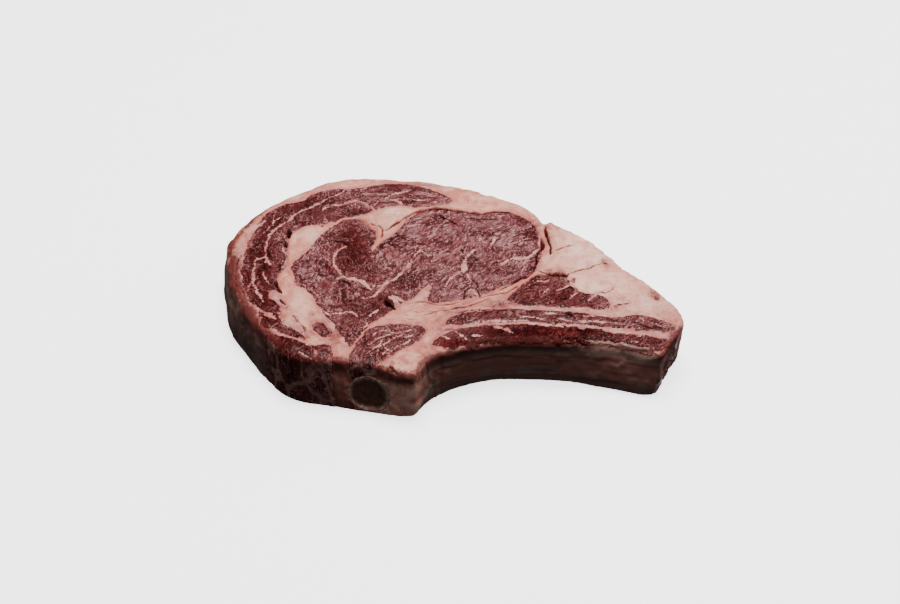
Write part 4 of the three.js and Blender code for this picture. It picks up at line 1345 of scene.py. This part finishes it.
# %% Node tree that carries the values over
CARRIED = ["lean_mm", "bone_mm", "fat_line_mm", "crease_mm", "crease_strength", "edge_mm", "edge_strength",
           "top", "rib_side", "sawn_side", "tail_side", "left_side", *TONES]


def build_carry():
    tree, given, out = new_tree("carry_values", {"Skin": ("Object", None), "Material": ("Material", None)})
    skin = target(tree, given["Skin"])
    place = add(tree, "GeometryNodeInputPosition").outputs[0]
    geometry = given["Geometry"]
    for name in CARRIED:
        sockets = {"Mesh": skin, "Value": attribute(tree, name), "Sample Position": place}
        value = add(tree, "GeometryNodeSampleNearestSurface", sockets).outputs[0]
        geometry = store(tree, geometry, name, value)
    finish_tree(tree, geometry, given, out)
    return tree


carry_tree = build_carry()
print("values carried:", ", ".join(CARRIED))

# %% [markdown]
# The rib is sawn through at both ends. The saw leaves a pale rim of hard bone round brown-red
# marrow full of small pits, and the stored distance from the rib's sides tells one from the other.

# %% Finish of the rib
HARD_BONE = ((0.74, 0.45, 0.38), (0.50, 0.25, 0.21))
MARROW = ((0.22, 0.08, 0.06), (0.16, 0.085, 0.06))
PIT = (0.06, 0.018, 0.014)


def build_bone():
    material, tree, shader, place = new_finish("sawn_rib")
    marrow = tint(tree, step(tree, noise(tree, place, 4), 0.42, 0.6), *MARROW)
    pits = step(tree, cells(tree, bent(tree, place, 3, 1), 1.9), 0.4, 0.1)
    marrow = tint(tree, times(tree, pits, 0.6), marrow, PIT)
    rim = tint(tree, step(tree, noise(tree, place, 3), 0.35, 0.65), *HARD_BONE)
    inside = plus(tree, read(tree, "bone_mm"), wobble(tree, place, 7, 6, 3))
    plug(tree, tint(tree, step(tree, inside, 1.4, 4.6), rim, marrow), shader["Base Color"])
    shader["Roughness"].default_value = 0.5
    shader["Specular IOR Level"].default_value = 0.2
    grain = noise(tree, place, 0.8)
    bump = add(tree, "ShaderNodeBump", {"Strength": 0.5, "Distance": 0.2 * MM, "Height": grain})
    plug(tree, bump.outputs["Normal"], shader["Normal"])
    return material


sawn_bone = build_bone()
print("bone finish:", len(sawn_bone.node_tree.nodes), "nodes")

# %% [markdown]
# Each muscle and the rib is what its cutter and a copy of the skin have in common, and the fat is
# the skin less all the cutters. Smooth shading with sharp edges only along the cuts keeps the
# seams crisp. Each piece then takes the place of its solid.

# %% Cut the pieces apart
EDGE_OF_CUT = math.radians(68)


def copy_of(obj, name):
    copy = bpy.data.objects.new(name, obj.data.copy())
    bpy.context.scene.collection.objects.link(copy)
    return copy


def finish_piece(piece, node, material):
    run_tree(piece, carry_tree, skin=flesh, material=material)
    baked(piece)
    piece.data.shade_smooth()
    piece.data.set_sharp_from_angle(angle=EDGE_OF_CUT)
    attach(piece, "root")
    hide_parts(node)
    triangles = sum(len(polygon.vertices) - 2 for polygon in piece.data.polygons)
    print(piece.name, triangles, "triangles")


fat = copy_of(flesh, "fat_web")
for node, cutter in cutters.items():
    piece = cut(copy_of(flesh, node + "_dressed"), cutter, "INTERSECT")
    cut(fat, cutter, "DIFFERENCE")
    if node == "rib_bone":
        finish_piece(piece, node, sawn_bone)
    else:
        finish_piece(piece, node, meat)
finish_piece(fat, "fat", meat)

# %% [markdown]
# The uncut skin, the guides and the cutters have done their work and are taken out of the scene.

# %% Remove the guides
for helper in (flesh, seams, rib_sides, fat_lines, lean_lines, creases, edges, *cutters.values()):
    bpy.data.objects.remove(helper)
print("guides removed")
